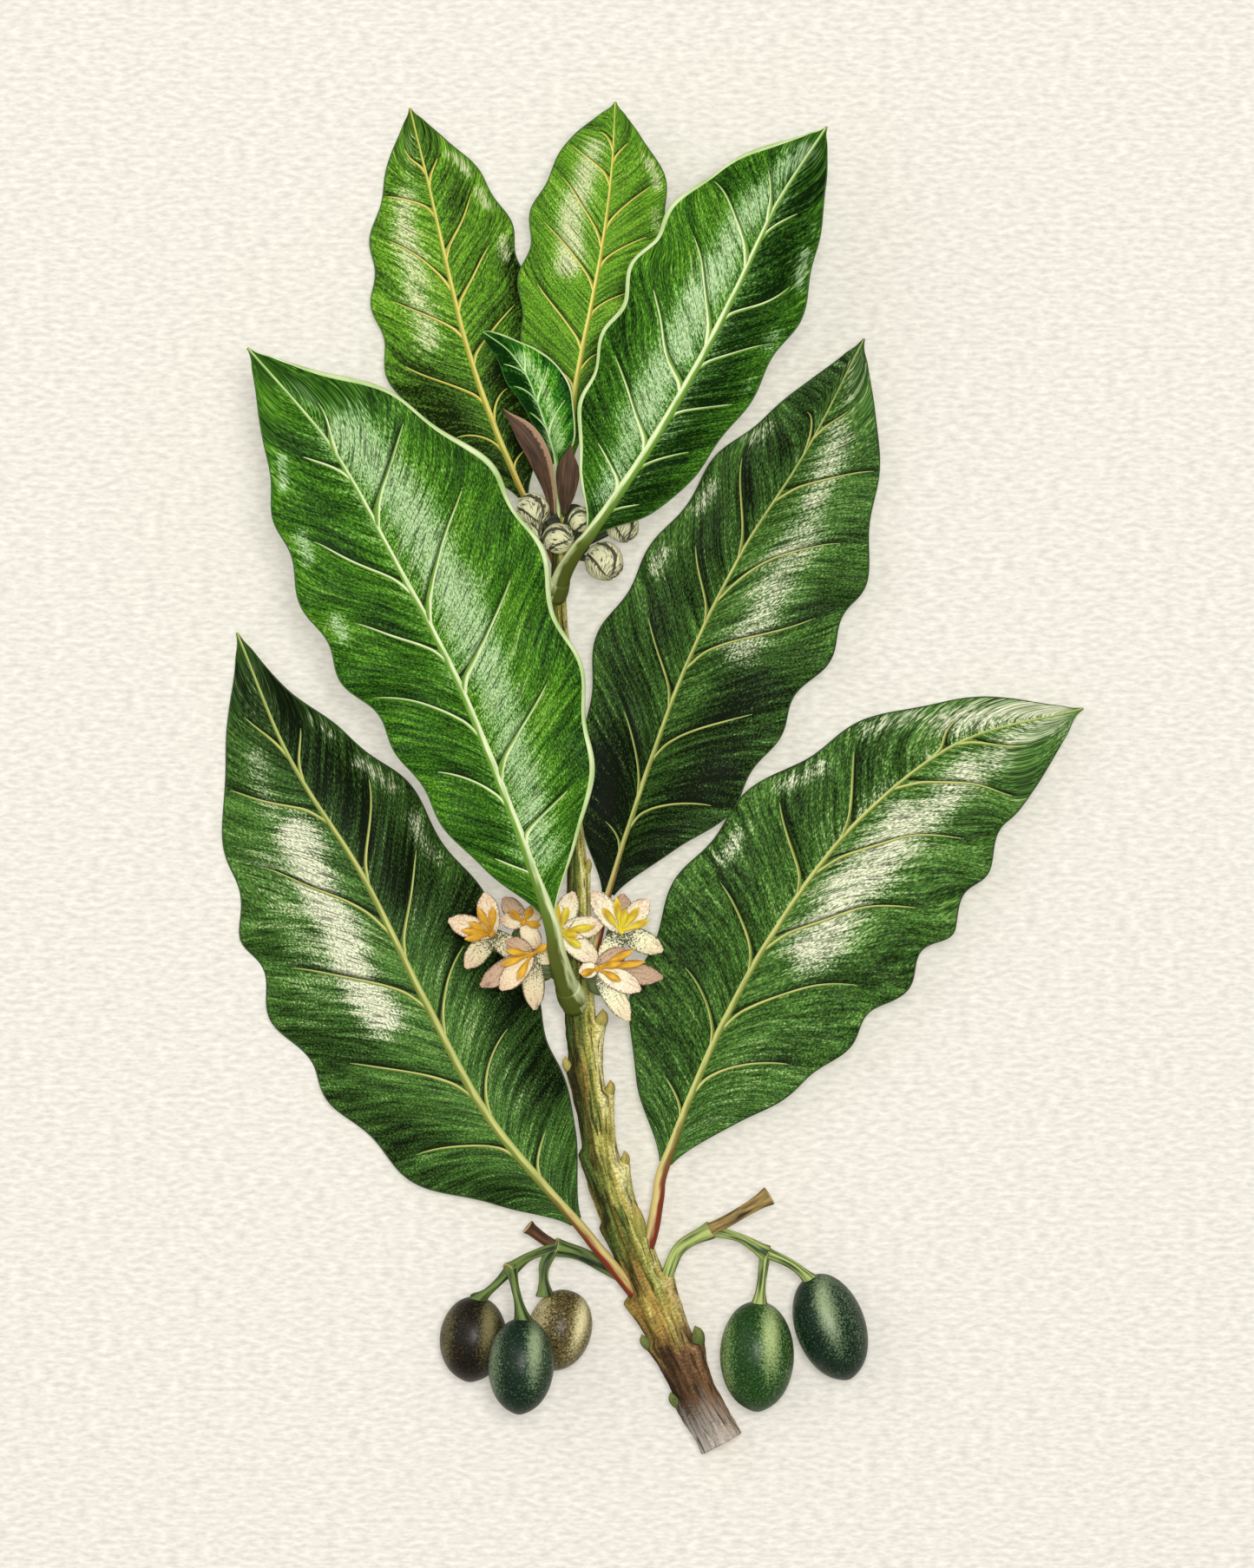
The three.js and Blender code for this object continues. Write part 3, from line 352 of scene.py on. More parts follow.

# Each fruit stalk: the greens of its skin, the browns of its stub, and its arms, each a line with
# its radii and 1 for an old stub with a cut end. The left stalk's greens and browns are darker than
# the right's: painted shade.
FRUIT_STALKS = {
    "fruit_stalk_left": (("#172a0b", "#748a42"), ("#20120a", "#6e4424"), [
        ([(2.4, -69.6, 2.2), (-2.4, -67, 2.2), (-6.2, -64.9, 2.8), (-9.9, -63.8, 4)],
         [1, 0.95, 0.95, 1.1], 0),
        ([(-9.4, -64, 4), (-11.6, -62.6, 4.4), (-13.7, -61, 4.8)], [0.8, 0.75, 0.85], 1),
        ([(-9.5, -63.7, 4), (-13.4, -65, 6), (-16.2, -66.9, 8)], [0.8, 0.6, 1], 0),
        ([(-16, -66.7, 7.6), (-18.2, -69, 6.8), (-20.6, -71.2, 4.8)], [0.8, 0.6, 0.6, 1.1], 0),
        ([(-15.9, -66.7, 7.9), (-15.2, -69.5, 11), (-14.2, -73.8, 12)], [0.8, 0.6, 0.65, 1.2], 0),
        ([(-9.9, -63.8, 4), (-11.4, -66.5, 5.2), (-11.3, -70.5, 4.8)], [0.7, 0.8, 0.65, 1.1], 0),
    ]),
    "fruit_stalk_right": (("#2f4718", "#b4c46e"), ("#33260e", "#bfa05a"), [
        ([(4.4, -72.6, 3.6), (5.8, -67, 4.4), (7.6, -63.6, 5.4), (11.6, -61.3, 6.2)],
         [0.9, 0.85, 0.9, 1.1], 0),
        ([(11.2, -61.5, 6.2), (15, -59.4, 6.6), (19.6, -56.6, 7)], [0.95, 0.85, 0.9, 1.15], 1),
        ([(11.2, -61.4, 6.2), (15.4, -62.4, 6.2), (19.2, -64.6, 6)], [0.8, 0.65, 1], 0),
        ([(19, -64.4, 6), (18.6, -68, 5.9), (18.1, -72.4, 5.2)], [0.8, 0.65, 0.7, 1.3], 0),
        ([(18.9, -64.4, 6), (22.8, -66.2, 5.9), (26.2, -69.2, 5.2)], [0.8, 0.65, 0.7, 1.3], 0),
    ]),
}

# A blade's deepest streaks, its two greens, its freshest streaks and its pale bloom, a painted
# sheen; how strong that painted sheen is; the painted highlight strip and the flank of its ribs and
# of its stalk; its margin. The shaded and lit finishes give leaves that lie in shade and in light
# their own colours: painted shade and painted light.
LEAF_FINISHES = {
    "shaded": (
        ("#0d1706", "#3b5b25", "#578636", "#84a656", "#f4f2d4"), 1.0,
        ("#cdd07a", "#7f8a38", "#d8c27a", "#7e3218"), "#222d14",
    ),
    "lit": (
        ("#0b2204", "#386719", "#5a9620", "#88ac48", "#c6e3b4"), 0.8,
        ("#eaf3bd", "#6d9a30", "#e3ecb0", "#56601c"), "#3c6420",
    ),
    "fresh": (
        ("#162306", "#527c27", "#6fae22", "#a2bc50", "#eceec0"), 0.9,
        ("#efe27a", "#a8a43c", "#d3ab4c", "#7a5220"), "#38521e",
    ),
    "tender": (
        ("#0a2c06", "#2b6e16", "#58a41c", "#96bf44", "#bfe3a2"), 0.75,
        ("#dff2bc", "#5a9a34", "#d6e6a6", "#6a8a34"), "#1f4a18",
    ),
}
# A berry's deep colour, its skin and its dusty bloom; the bloom is its painted highlight and rim
# light, and the deep colour shows as painted shade between them.
BERRY_FINISHES = {
    "green": ("#102d0b", "#315a24", "#b6c886"),
    "ripe": ("#07150c", "#203d27", "#9cac82"),
    "olive": ("#281f10", "#837545", "#fbf0b8"),
    "brown": ("#0e0b07", "#2a2412", "#8a8156"),
}


# ---- Lines and readings


def curve(before, here, there, after, f):
    """A place or value between here and there on a smooth (Catmull-Rom) curve through all four."""
    slope_in = (there - before) / 2
    slope_out = (after - here) / 2
    bend = (there - here) * 3 - slope_in * 2 - slope_out
    turn = slope_in + slope_out - (there - here) * 2
    return here + (slope_in + (bend + turn * f) * f) * f


class Line:
    """A smooth line through a few points, read by the share of its length."""

    def __init__(self, points, steps=200):
        self.knots = [Vector(point) for point in points]
        self.steps = steps
        spots = [self.spot(step / steps) for step in range(steps + 1)]
        self.reach = [0.0]
        for start, end in zip(spots, spots[1:]):
            self.reach.append(self.reach[-1] + (end - start).length)
        self.length = self.reach[-1]

    def spot(self, place):
        last = len(self.knots) - 1
        i = min(int(place * last), last - 1)
        here, there = self.knots[i], self.knots[i + 1]
        before = self.knots[i - 1] if i > 0 else here * 2 - there
        after = self.knots[i + 2] if i + 2 <= last else there * 2 - here
        return curve(before, here, there, after, place * last - i)

    def at(self, share):
        target = min(max(share, 0.0), 1.0) * self.length
        i = min(max(bisect.bisect_right(self.reach, target) - 1, 0), self.steps - 1)
        step = self.reach[i + 1] - self.reach[i]
        return self.spot((i + (target - self.reach[i]) / step) / self.steps)

    def along(self, share):
        return (self.at(share + 0.004) - self.at(share - 0.004)).normalized()


def read_at(values, share):
    """A value at a share from 0 to 1, read smoothly from a few values at equal steps."""
    last = len(values) - 1
    place = min(max(share, 0.0), 1.0) * last
    i = min(int(place), last - 1)
    return curve(values[max(i - 1, 0)], values[i], values[i + 1], values[min(i + 2, last)], place - i)


def bell(distance, width):
    """A smooth swelling that is 1 at no distance and fades over this width."""
    return math.exp(-((distance / width) ** 2))


def sideways(direction):
    """The level direction to the left of a line that runs in this direction."""
    return Vector((-direction.y, direction.x, 0)).normalized()


def raised(point, height):
    """The place this many mm above a point."""
    return Vector(point) + Vector((0, 0, height))


# ---- Mesh helpers

# What the points of a piece carry for its materials: the grain in mm, and three tones.
PATTERNS = ("grain", "tone")


def new_mesh():
    """An empty mesh whose points can hold the coordinates of their surface's patterns."""
    bm = bmesh.new()
    for name in PATTERNS:
        bm.verts.layers.float_vector.new(name)
    return bm


def layers(bm):
    return [bm.verts.layers.float_vector[name] for name in PATTERNS]


def flat_grid(bm, rows, columns):
    """A flat grid's points, which lie from -1 to 1 each way, and its faces."""
    verts = bmesh.ops.create_grid(bm, x_segments=rows, y_segments=columns, size=1)["verts"]
    return verts, list({face for vert in verts for face in vert.link_faces})


def close_shell(bm, old_faces, finish):
    """Gives the faces added to the old ones their finish and turns them outwards."""
    faces = [face for face in bm.faces if face not in old_faces]
    for face in faces:
        face.material_index = finish
    bmesh.ops.recalc_face_normals(bm, faces=faces)
    return faces


def limb(bm, line, radii, sides=12, stations=24, finish=0, bulge=None, flat=1.0, third=None):
    """A round limb along a line: a grid wrapped round it, with its seam below and its ends closed.

    bulge adds to a point's reach by its share, angle and place; flat is its height to its width.
    The tone holds the share, the side (1 = left, -1 = right) and the bulge, or third of the share.
    """
    grain_layer, tone_layer = layers(bm)
    girth = sum(radii) / len(radii)
    old_faces = set(bm.faces)
    verts = flat_grid(bm, stations, sides)[0]
    rings = {}
    for vert in verts:
        share = (vert.co.x + 1) / 2
        angle = (vert.co.y + 1) * math.pi
        key = round(share, 6)
        if key not in rings:
            direction = line.along(share)
            left = sideways(direction)
            rings[key] = (line.at(share), left, direction.cross(left), read_at(radii, share))
        centre, left, up, radius = rings[key]
        out = left * math.sin(angle) - up * math.cos(angle) * flat
        reach = radius + (bulge(share, angle, centre + out * radius) if bulge else 0.0)
        vert.co = centre + out * reach
        vert.co.z = max(vert.co.z, 0.0)
        vert[grain_layer] = (angle * girth, share * line.length, line.knots[0].x)
        vert[tone_layer] = (share, math.sin(angle), third(share) if third else reach - radius)
    bmesh.ops.remove_doubles(bm, verts=verts, dist=1e-4)
    bmesh.ops.holes_fill(bm, edges=[edge for edge in bm.edges if edge.is_boundary])
    return close_shell(bm, old_faces, finish)


def limb_ends(faces):
    """The ends of a limb, which are its only faces with many corners."""
    return [face for face in faces if len(face.verts) > 8]


def thicken(bm, faces, thickness, below, rim):
    """Makes a sheet of faces that look up into a closed body of this thickness."""
    made = bmesh.ops.extrude_face_region(bm, geom=faces, use_keep_orig=True)["geom"]
    top = [part for part in made if isinstance(part, bmesh.types.BMVert)]
    bmesh.ops.translate(bm, verts=top, vec=(0, 0, thickness))
    around = {face for vert in top for face in vert.link_faces}
    for face in faces:
        face.material_index = below
    for face in around - set(made):
        face.material_index = rim
    bmesh.ops.recalc_face_normals(bm, faces=[*around, *faces])


def scale_leaf(bm, line, half_widths, hollow, thickness, rows, finish=0, ink=0.0):
    """A small pointed scale along a line, its sides curled up by the hollow's share of its width."""
    grain_layer, tone_layer = layers(bm)
    verts, faces = flat_grid(bm, rows, 12)
    for vert in verts:
        share = (vert.co.x + 1) / 2
        v = vert.co.y
        width = max(read_at(half_widths, share), 0.05)
        left = sideways(line.along(share))
        vert.co = line.at(share) + left * (v * width)
        vert.co.z += hollow * v * v * width - thickness / 2
        vert[grain_layer] = (v * width, share * line.length, line.knots[0].x)
        vert[tone_layer] = (share, v, ink)
    for face in faces:
        face.material_index = finish
    thicken(bm, faces, thickness, below=finish, rim=finish)


def ball(bm, centre, size, turn=Matrix.Identity(3), around=48, rows=28, shape=None, finish=0):
    """A rounded body with its pole turned as asked; shape scales a point by its angles."""
    grain_layer, tone_layer = layers(bm)
    old_faces = set(bm.faces)
    for vert in bmesh.ops.create_uvsphere(bm, u_segments=around, v_segments=rows, radius=1)["verts"]:
        spin = math.atan2(vert.co.y, vert.co.x)
        tilt = math.acos(max(-1.0, min(1.0, vert.co.z)))
        factor, depth = shape(spin, tilt) if shape else (1.0, 0.0)
        vert[grain_layer] = (spin * size[0] * math.sin(tilt), tilt * size[2], centre[0])
        vert[tone_layer] = (tilt / math.pi, depth, 0.0)
        local = Vector([way * half for way, half in zip(vert.co, size)]) * factor
        vert.co = Vector(centre) + turn @ local
        vert.co.z = max(vert.co.z, 0.0)
    close_shell(bm, old_faces, finish)


def place_mesh(bm, name):
    """Turns a drawing into an object of the scene."""
    mesh = bpy.data.meshes.new(name)
    bm.to_mesh(mesh)
    bm.free()
    placed = bpy.data.objects.new(name, mesh)
    bpy.context.scene.collection.objects.link(placed)
    return placed


def finish_piece(bm, name, finishes):
    """Sets a drawing in the model's frame, in place of the solid of its name."""
    bmesh.ops.transform(bm, matrix=TO_FRAME, verts=bm.verts)
    piece = place_mesh(bm, name)
    piece.data.shade_smooth()
    for finish in finishes:
        piece.data.materials.append(finish)
    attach(piece, "root")
    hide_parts(name)


# ---- Materials


def linear(value):
    """The linear colour of an sRGB hex value."""
    parts = [int(value[i : i + 2], 16) / 255 for i in (1, 3, 5)]
    return [c / 12.92 if c <= 0.04045 else ((c + 0.055) / 1.055) ** 2.4 for c in parts] + [1.0]


def add(tree, kind, inputs, **settings):
    """Adds one shader node: its settings, and a link, a value or a hex colour for each input."""
    node = tree.nodes.new("ShaderNode" + kind)
    for name, value in settings.items():
        setattr(node, name, value)
    for socket, value in inputs.items():
        if isinstance(value, bpy.types.NodeSocket):
            tree.links.new(value, node.inputs[socket])
        else:
            node.inputs[socket].default_value = linear(value) if isinstance(value, str) else value
    return node.outputs


def new_material(name, roughness, ior=1.45, **sockets):
    """A material and its nodes, with even values on the sockets of its shader."""
    material = bpy.data.materials.new(name)
    material.use_nodes = True
    shader = material.node_tree.nodes["Principled BSDF"]
    for socket, value in {"Roughness": roughness, "IOR": ior, **sockets}.items():
        shader.inputs[socket.replace("_", " ")].default_value = value
    return material, material.node_tree


def patterns(tree):
    """The grain of a surface and its three tones."""
    grain, tone = [add(tree, "Attribute", {}, attribute_name=name)["Vector"] for name in PATTERNS]
    return grain, *add(tree, "SeparateXYZ", {0: tone})


def strokes(tree, grain, scale, **inputs):
    """Noise drawn out into strokes; the scale is how many there are to a unit of the grain."""
    drawn = add(tree, "Mapping", {0: grain, "Scale": scale})[0]
    return add(tree, "TexNoise", {0: drawn, "Scale": 1.0, **inputs})


def lay(tree, colour, over, value, start, end, cover=1.0, **settings):
    """Lays a colour over another where a value passes from the start level to the end level."""
    amount = add(tree, "MapRange", {0: value, 1: start, 2: end, 4: cover}, **settings)[0]
    return add(tree, "Mix", {0: amount, 6: colour, 7: over}, data_type="RGBA")[2]


def graded(tree, value, stops):
    """Colours graded over a value by a few stops, of which the two outermost come first."""
    colours = add(tree, "ValToRGB", {0: value})[0]
    elements = colours.node.color_ramp.elements
    for k, (place, shade) in enumerate(stops):
        element = elements[k] if k < 2 else elements.new(place)
        element.position = place
        element.color = linear(shade)
    return colours


def dusted(tree, colour, value, start, end, darkest, lightest):
    """Makes a colour darker and lighter as a value passes from the start level to the end level."""
    light = add(tree, "MapRange", {0: value, 1: start, 2: end, 3: darkest, 4: lightest})[0]
    return add(tree, "Mix", {0: 1.0, 6: colour, 7: light}, data_type="RGBA", blend_type="MULTIPLY")[2]


def surfaced(material, colour, relief, strength, depth):
    """Gives a material its colour and a bump of this strength and depth in mm."""
    tree = material.node_tree
    bump = add(tree, "Bump", {"Height": relief, "Strength": strength, "Distance": depth * MM})[0]
    for socket, source in (("Base Color", colour), ("Normal", bump)):
        tree.links.new(source, tree.nodes["Principled BSDF"].inputs[socket])
    return material


def waxy_blade(name, shades, bloom, cell):
    """The upper face of a bay leaf: a leathery blade under a thin satin wax.

    It gives the eye deep and fresh green streaks that run with the side veins, a pale bloom that
    is a painted sheen where the blade turns to the light, deep lines of painted shadow beside the
    veins and a fine raised net. The cell is the length in mm that the grain counts from one side
    vein to the next.
    """
    deep, green, vivid, fresh, sheen = shades
    material, tree = new_material(name, 0.5, Specular_IOR_Level=0.05)
    grain, pale, dark, lined = patterns(tree)
    # Strands are about 0.8 mm wide and 7 mm long, the dark dashes between them are 0.3 mm wide and
    # 3 mm long, and the stipple of the wax is 0.25 mm.
    streak = strokes(tree, grain, (1.2, 0.15, 1), Detail=2.0, Distortion=0.25)[0]
    dashes = strokes(tree, grain, (3.4, 0.36, 1), Detail=1.0)[0]
    speckle = add(tree, "TexNoise", {0: grain, "Scale": 4.2, "Detail": 1.0})[0]
    rough = add(tree, "Math", {0: speckle, 1: 1.0, 2: streak}, operation="MULTIPLY_ADD")[0]
    # The greens: the washes' painted highlights and painted shade move the strokes up and down
    # the scale from deep to fresh.
    lift = add(tree, "Math", {0: pale, 1: 0.2, 2: rough}, operation="MULTIPLY_ADD")[0]
    level = add(tree, "Math", {0: dark, 1: -0.4, 2: lift}, operation="MULTIPLY_ADD")[0]
    place = add(tree, "MapRange", {0: level, 1: 0.42, 2: 1.38})[0]
    colour = graded(tree, place, ((0.1, deep), (0.88, fresh), (0.46, green), (0.7, vivid)))
    # The pale bloom is a painted sheen: it breaks up along the same strokes and is stippled with
    # fresh green.
    ragged = add(tree, "Math", {0: rough, 1: 1.3, 2: pale}, operation="MULTIPLY_ADD")[0]
    wax = lay(tree, sheen, fresh, speckle, 0.56, 0.4, 0.55)
    colour = lay(tree, colour, wax, ragged, 1.6, 2.5, bloom, interpolation_type="SMOOTHSTEP")
    colour = lay(tree, colour, deep, dashes, 0.52, 0.68, 0.7)
    # A side vein lies at each whole cell, with painted shadow beside it: a broad deep line on its far
    # side and a slim one on its near side.
    across = add(tree, "SeparateXYZ", {0: grain})[0]
    count = add(tree, "Math", {0: across, 1: 1 / cell}, operation="MULTIPLY")[0]
    share = add(tree, "Math", {0: count}, operation="FRACT")[0]
    far = add(tree, "MapRange", {0: share, 1: 0.03, 2: 0.085, 3: 1.0, 4: 0.0})[0]
    near = add(tree, "MapRange", {0: share, 1: 0.965, 2: 0.995, 4: 0.6})[0]
    beside = add(tree, "Math", {0: far, 1: near}, operation="MAXIMUM")[0]
    line = add(tree, "Math", {0: beside, 1: lined}, operation="MULTIPLY")[0]
    colour = add(tree, "Mix", {0: line, 6: colour, 7: deep}, data_type="RGBA")[2]
    colour = dusted(tree, colour, speckle, 0.0, 1.0, 0.55, 1.4)
    # A bay leaf's raised net has meshes of about 0.7 mm.
    net = add(tree, "TexVoronoi", {0: grain, "Scale": 1.4}, feature="DISTANCE_TO_EDGE")[0]
    relief = add(tree, "Math", {0: net, 1: -0.4, 2: rough}, operation="MULTIPLY_ADD")[0]
    return surfaced(material, colour, relief, 0.2, 0.15)


def streaked(name, low_colour, high_colour, scale, roughness, depth=0.05, contrast=(0.3, 0.7)):
    """Plant tissue whose colour runs along the piece in fibres, 0.3 to 1.3 mm wide."""
    material, tree = new_material(name, roughness)
    grain = add(tree, "Attribute", {}, attribute_name="grain")["Vector"]
    fibres = strokes(tree, grain, scale, Detail=4.0)[0]
    colour = lay(tree, low_colour, high_colour, fibres, *contrast)
    return surfaced(material, colour, fibres, 0.5, depth)


def leaf_rib(name, ribs, fresh):
    """Midrib, side veins and stalk: smooth green wood with a pale painted highlight strip on one side.

    The painted highlight strip is where the second tone is high, the flank colour on the side away
    from the light; the third tone is 1 on the stalk, which is browner, and the ribs sink into the
    green of the blade at the far end of the first tone.
    """
    strip, flank, stalk_strip, stalk_flank = ribs
    material, tree = new_material(name, 0.5, Specular_IOR_Level=0.3)
    grain, share, side, foot = patterns(tree)
    # Fibres are about 0.3 mm wide and 4 mm long.
    fibres = strokes(tree, grain, (3.2, 0.25, 1), Detail=3.0)[0]
    # The pale strip, a painted highlight, lies where the side tone is high: on the lit side.
    ragged = add(tree, "Math", {0: fibres, 1: 1.3, 2: side}, operation="MULTIPLY_ADD")[0]
    rib = lay(tree, flank, strip, ragged, 0.4, 0.97)
    stalk = lay(tree, stalk_flank, stalk_strip, ragged, 0.4, 0.97)
    whole = add(tree, "Mix", {0: foot, 6: rib, 7: stalk}, data_type="RGBA")[2]
    colour = lay(tree, whole, fresh, share, 0.6, 1.0, 0.6)
    return surfaced(material, colour, fibres, 0.4, 0.05)


def bark_finish():
    """Young laurel bark: olive fibres, pale yellow on its ridges, in some fibres and on its lit right
    side (painted light, with painted shade on its left), golden and then brown below.
    """
    material, tree = new_material("young_bark", 0.8, Specular_IOR_Level=0.15)
    grain, share, side, height = patterns(tree)
    # Fibres are 0.3 to 1 mm wide and 11 mm long, cracks 0.3 mm wide and 4 mm long, grit 0.25 mm.
    fibres, hue = strokes(tree, grain, (1.25, 0.09, 1), Detail=5.0, Roughness=0.62, Distortion=0.35)
    cracks = strokes(tree, grain, (2.8, 0.22, 1), Detail=4.0, Distortion=0.4)[0]
    grit = add(tree, "TexNoise", {0: grain, "Scale": 4.0, "Detail": 2.0})[0]
    # Bark is paler on its ridges; towards its right side it is painted lighter and towards its left
    # darker: painted light and shade.
    fibres_and_painted_light = add(tree, "Math", {0: side, 1: -0.23, 2: fibres}, operation="MULTIPLY_ADD")[0]
    ridged = add(tree, "Math", {0: height, 1: 0.12, 2: fibres_and_painted_light}, operation="MULTIPLY_ADD")[0]
    place = add(tree, "MapRange", {0: ridged, 1: 0.3, 2: 0.78})[0]
    ends = (0.0, "#2f2a12"), (0.95, "#ece29c")
    colour = graded(tree, place, (*ends, (0.22, "#56501f"), (0.45, "#7b7a38"), (0.68, "#c0b45c")))
    # One fibre in a few stays green, and the bark below turns golden and then brown.
    hues = add(tree, "SeparateColor", {0: hue})
    colour = lay(tree, colour, "#587a34", hues[1], 0.5, 0.6, 0.55)
    edge = add(tree, "Math", {0: fibres, 1: 0.14, 2: share}, operation="MULTIPLY_ADD")[0]
    aged = add(tree, "MapRange", {0: edge, 1: 0.3, 2: 0.22, 4: 0.2})[0]
    warm = add(tree, "Math", {0: hues[2], 1: aged}, operation="ADD")[0]
    colour = lay(tree, colour, "#c1934e", warm, 0.58, 0.7, 0.55)
    old = add(tree, "Mix", {0: place, 6: "#120b05", 7: "#876043"}, data_type="RGBA")[2]
    colour = lay(tree, colour, old, edge, 0.22, 0.18, 0.95)
    # The cut end has dried to a pale ash.
    dry = add(tree, "Math", {0: grit, 1: 0.08, 2: edge}, operation="MULTIPLY_ADD")[0]
    colour = lay(tree, colour, "#ebe1d3", dry, 0.165, 0.075, 0.9)
    colour = lay(tree, colour, "#2a2410", cracks, 0.46, 0.35, 0.85)
    colour = dusted(tree, colour, grit, 0.25, 0.75, 0.45, 1.55)
    return surfaced(material, colour, cracks, 0.9, 0.35)


def hatched_scale(name, pale, ink, tip, foot_reach=0.45):
    """Thin papery scales: pale, flushed to the tip, with fine dark hatching and a stippled foot.

    The share along the scale is the first tone, and the third says how much of its foot is dark.
    """
    material, tree = new_material(name, 0.7, Specular_IOR_Level=0.25)
    grain, share, side, foot_ink = patterns(tree)
    # The hatching is 0.3 mm wide and 2 mm long, and the stipple is 0.2 mm.
    lines = strokes(tree, grain, (3.4, 0.5, 1), Detail=3.0)[0]
    dots = add(tree, "TexNoise", {0: grain, "Scale": 4.5, "Detail": 2.0})[0]
    flush = add(tree, "Math", {0: dots, 1: 1.8, 2: share}, operation="MULTIPLY_ADD")[0]
    colour = lay(tree, pale, tip, flush, 1.4, 1.95, 0.75)
    foot = add(tree, "MapRange", {0: share, 1: foot_reach, 2: 0.0})[0]
    dark_foot = add(tree, "Math", {0: foot, 1: foot_ink}, operation="MULTIPLY")[0]
    level = add(tree, "Math", {0: dark_foot, 1: 0.4, 2: dots}, operation="MULTIPLY_ADD")[0]
    across = add(tree, "Math", {0: side}, operation="ABSOLUTE")[0]
    rim = add(tree, "Math", {0: dots, 1: 0.5, 2: across}, operation="MULTIPLY_ADD")[0]
    # The dark ink lies on the foot, in the strokes and along the thin margin.
    inked = 0.0
    drawings = (level, 0.68, 0.8, 0.9), (lines, 0.55, 0.7, 0.5), (rim, 1.06, 1.2, 0.8)
    for value, start, end, cover in drawings:
        drawn = add(tree, "MapRange", {0: value, 1: start, 2: end, 4: cover})[0]
        inked = add(tree, "Math", {0: drawn, 1: inked}, operation="MAXIMUM")[0]
    colour = add(tree, "Mix", {0: inked, 6: colour, 7: ink}, data_type="RGBA")[2]
    return surfaced(material, colour, lines, 0.4, 0.1)


def bud_finish():
    """Round laurel buds: dry cream-green scales with fine dark hatching and nearly black seams."""
    material, tree = new_material("bud_scales", 0.7, Specular_IOR_Level=0.25)
    grain, _, seam, _ = patterns(tree)
    # The hatching is 0.25 mm wide and 1 mm long and gathers beside the seams, where it lays painted
    # shade along one side of each seam, and towards the poles.
    hatch = strokes(tree, grain, (4.2, 1.1, 1), Detail=3.0)[0]
    level = add(tree, "Math", {0: seam, 1: 0.6, 2: hatch}, operation="MULTIPLY_ADD")[0]
    colour = add(tree, "Mix", {0: hatch, 6: "#d6d49a", 7: "#fffbd8"}, data_type="RGBA")[2]
    colour = lay(tree, colour, "#1d210f", level, 0.53, 0.68, 0.92)
    return surfaced(material, colour, hatch, 0.5, 0.1)


def bract_finish(name, edge):
    """A dry brown bract, finely lined along its length, with an edge that shows its tan inside.

    The edge is how far across the bract the tan begins, from 1 at its left to -1 at its right.
    """
    material = streaked(name, "#1d120a", "#66482f", (3.2, 0.25, 1), 0.7)
    tree = material.node_tree
    skin = tree.nodes["Principled BSDF"].inputs["Base Color"]
    grain, _, side, _ = patterns(tree)
    # Dots of about 0.3 mm make the tan's edge ragged.
    dots = add(tree, "TexNoise", {0: grain, "Scale": 3.0, "Detail": 2.0})[0]
    ragged = add(tree, "Math", {0: dots, 1: 0.4, 2: side}, operation="MULTIPLY_ADD")[0]
    brown = skin.links[0].from_socket
    tree.links.new(lay(tree, brown, "#ad8a6c", ragged, edge + 0.25, edge + 0.1), skin)
    return material


def berry_skin(name, deep, skin, bloom):
    """The skin of a laurel berry: thin and satin, with a dusty bloom that is a painted highlight and
    rim light, and a bare band between them that is painted darker, as shade.

    The bloom's cover is the second tone; it is made of dots about 0.15 mm across. The skin under
    it is uneven over about 4 mm.
    """
    coat = {"Coat_Weight": 0.06, "Coat_Roughness": 0.28}
    material, tree = new_material(name, 0.4, Specular_IOR_Level=0.2, **coat)
    where = add(tree, "TexCoord", {})["Object"]
    cover = patterns(tree)[2]
    dots = add(tree, "TexNoise", {0: where, "Scale": 3600.0, "Detail": 1.0})[0]
    mottle = add(tree, "TexNoise", {0: where, "Scale": 240.0, "Detail": 2.0})[0]
    dotted = add(tree, "Math", {0: dots, 1: 1.2, 2: cover}, operation="MULTIPLY_ADD")[0]
    # Where the bloom is thin the skin is stippled with its deep colour as painted shade, and where it is
    # thick its pale colour is a painted highlight.
    colour = lay(tree, deep, skin, dotted, 0.4, 0.95)
    colour = lay(tree, colour, bloom, dotted, 0.75, 1.6, 0.95)
    return surfaced(material, colour, mottle, 0.2, 0.1)


# ---- Settings


def length(name, millimetres, description):
    """A setting that is a length, given in mm."""
    size = millimetres * MM
    return FloatProperty(name=name, description=description, default=size, precision=5, unit="LENGTH")


class LaurelSettings(PropertyGroup):
    """Sizes shared by all the leaves, and the colour of the floor."""

    thickness: length("Blade thickness", 0.6, "Thickness of a blade between its veins")
    quilt: length("Quilting", 0.4, "How far the blade swells between two side veins")
    side_vein: length("Side vein radius", 0.27, "Radius of a side vein where it leaves the midrib")
    margin: length("Margin radius", 0.2, "Radius of the thickened margin of a common leaf")
    pale_margin: length("Pale margin radius", 0.42, "Radius of the rolled pale margin of a lit leaf")
    rows: IntProperty(name="Rows", description="Steps along a blade", default=190, min=20)
    columns: IntProperty(name="Columns", description="Steps across a blade", default=88, min=8)
    floor: FloatVectorProperty(
        name="Floor", description="Pale surface that the branch lies on", default=linear("#f4efe3")[:3],
        size=3, min=0, max=1, subtype="COLOR",
    )


# ---- Leaves

# In shares of a blade's half-width: how far its margins wave sideways and up, and how far it arches.
WAVE_REACH, WAVE_HEIGHT, BLADE_ARCH = 0.05, 0.06, 0.07
# How far the right margin's waves run ahead of the left one's, in radians.
WAVE_LEAD = 1.5
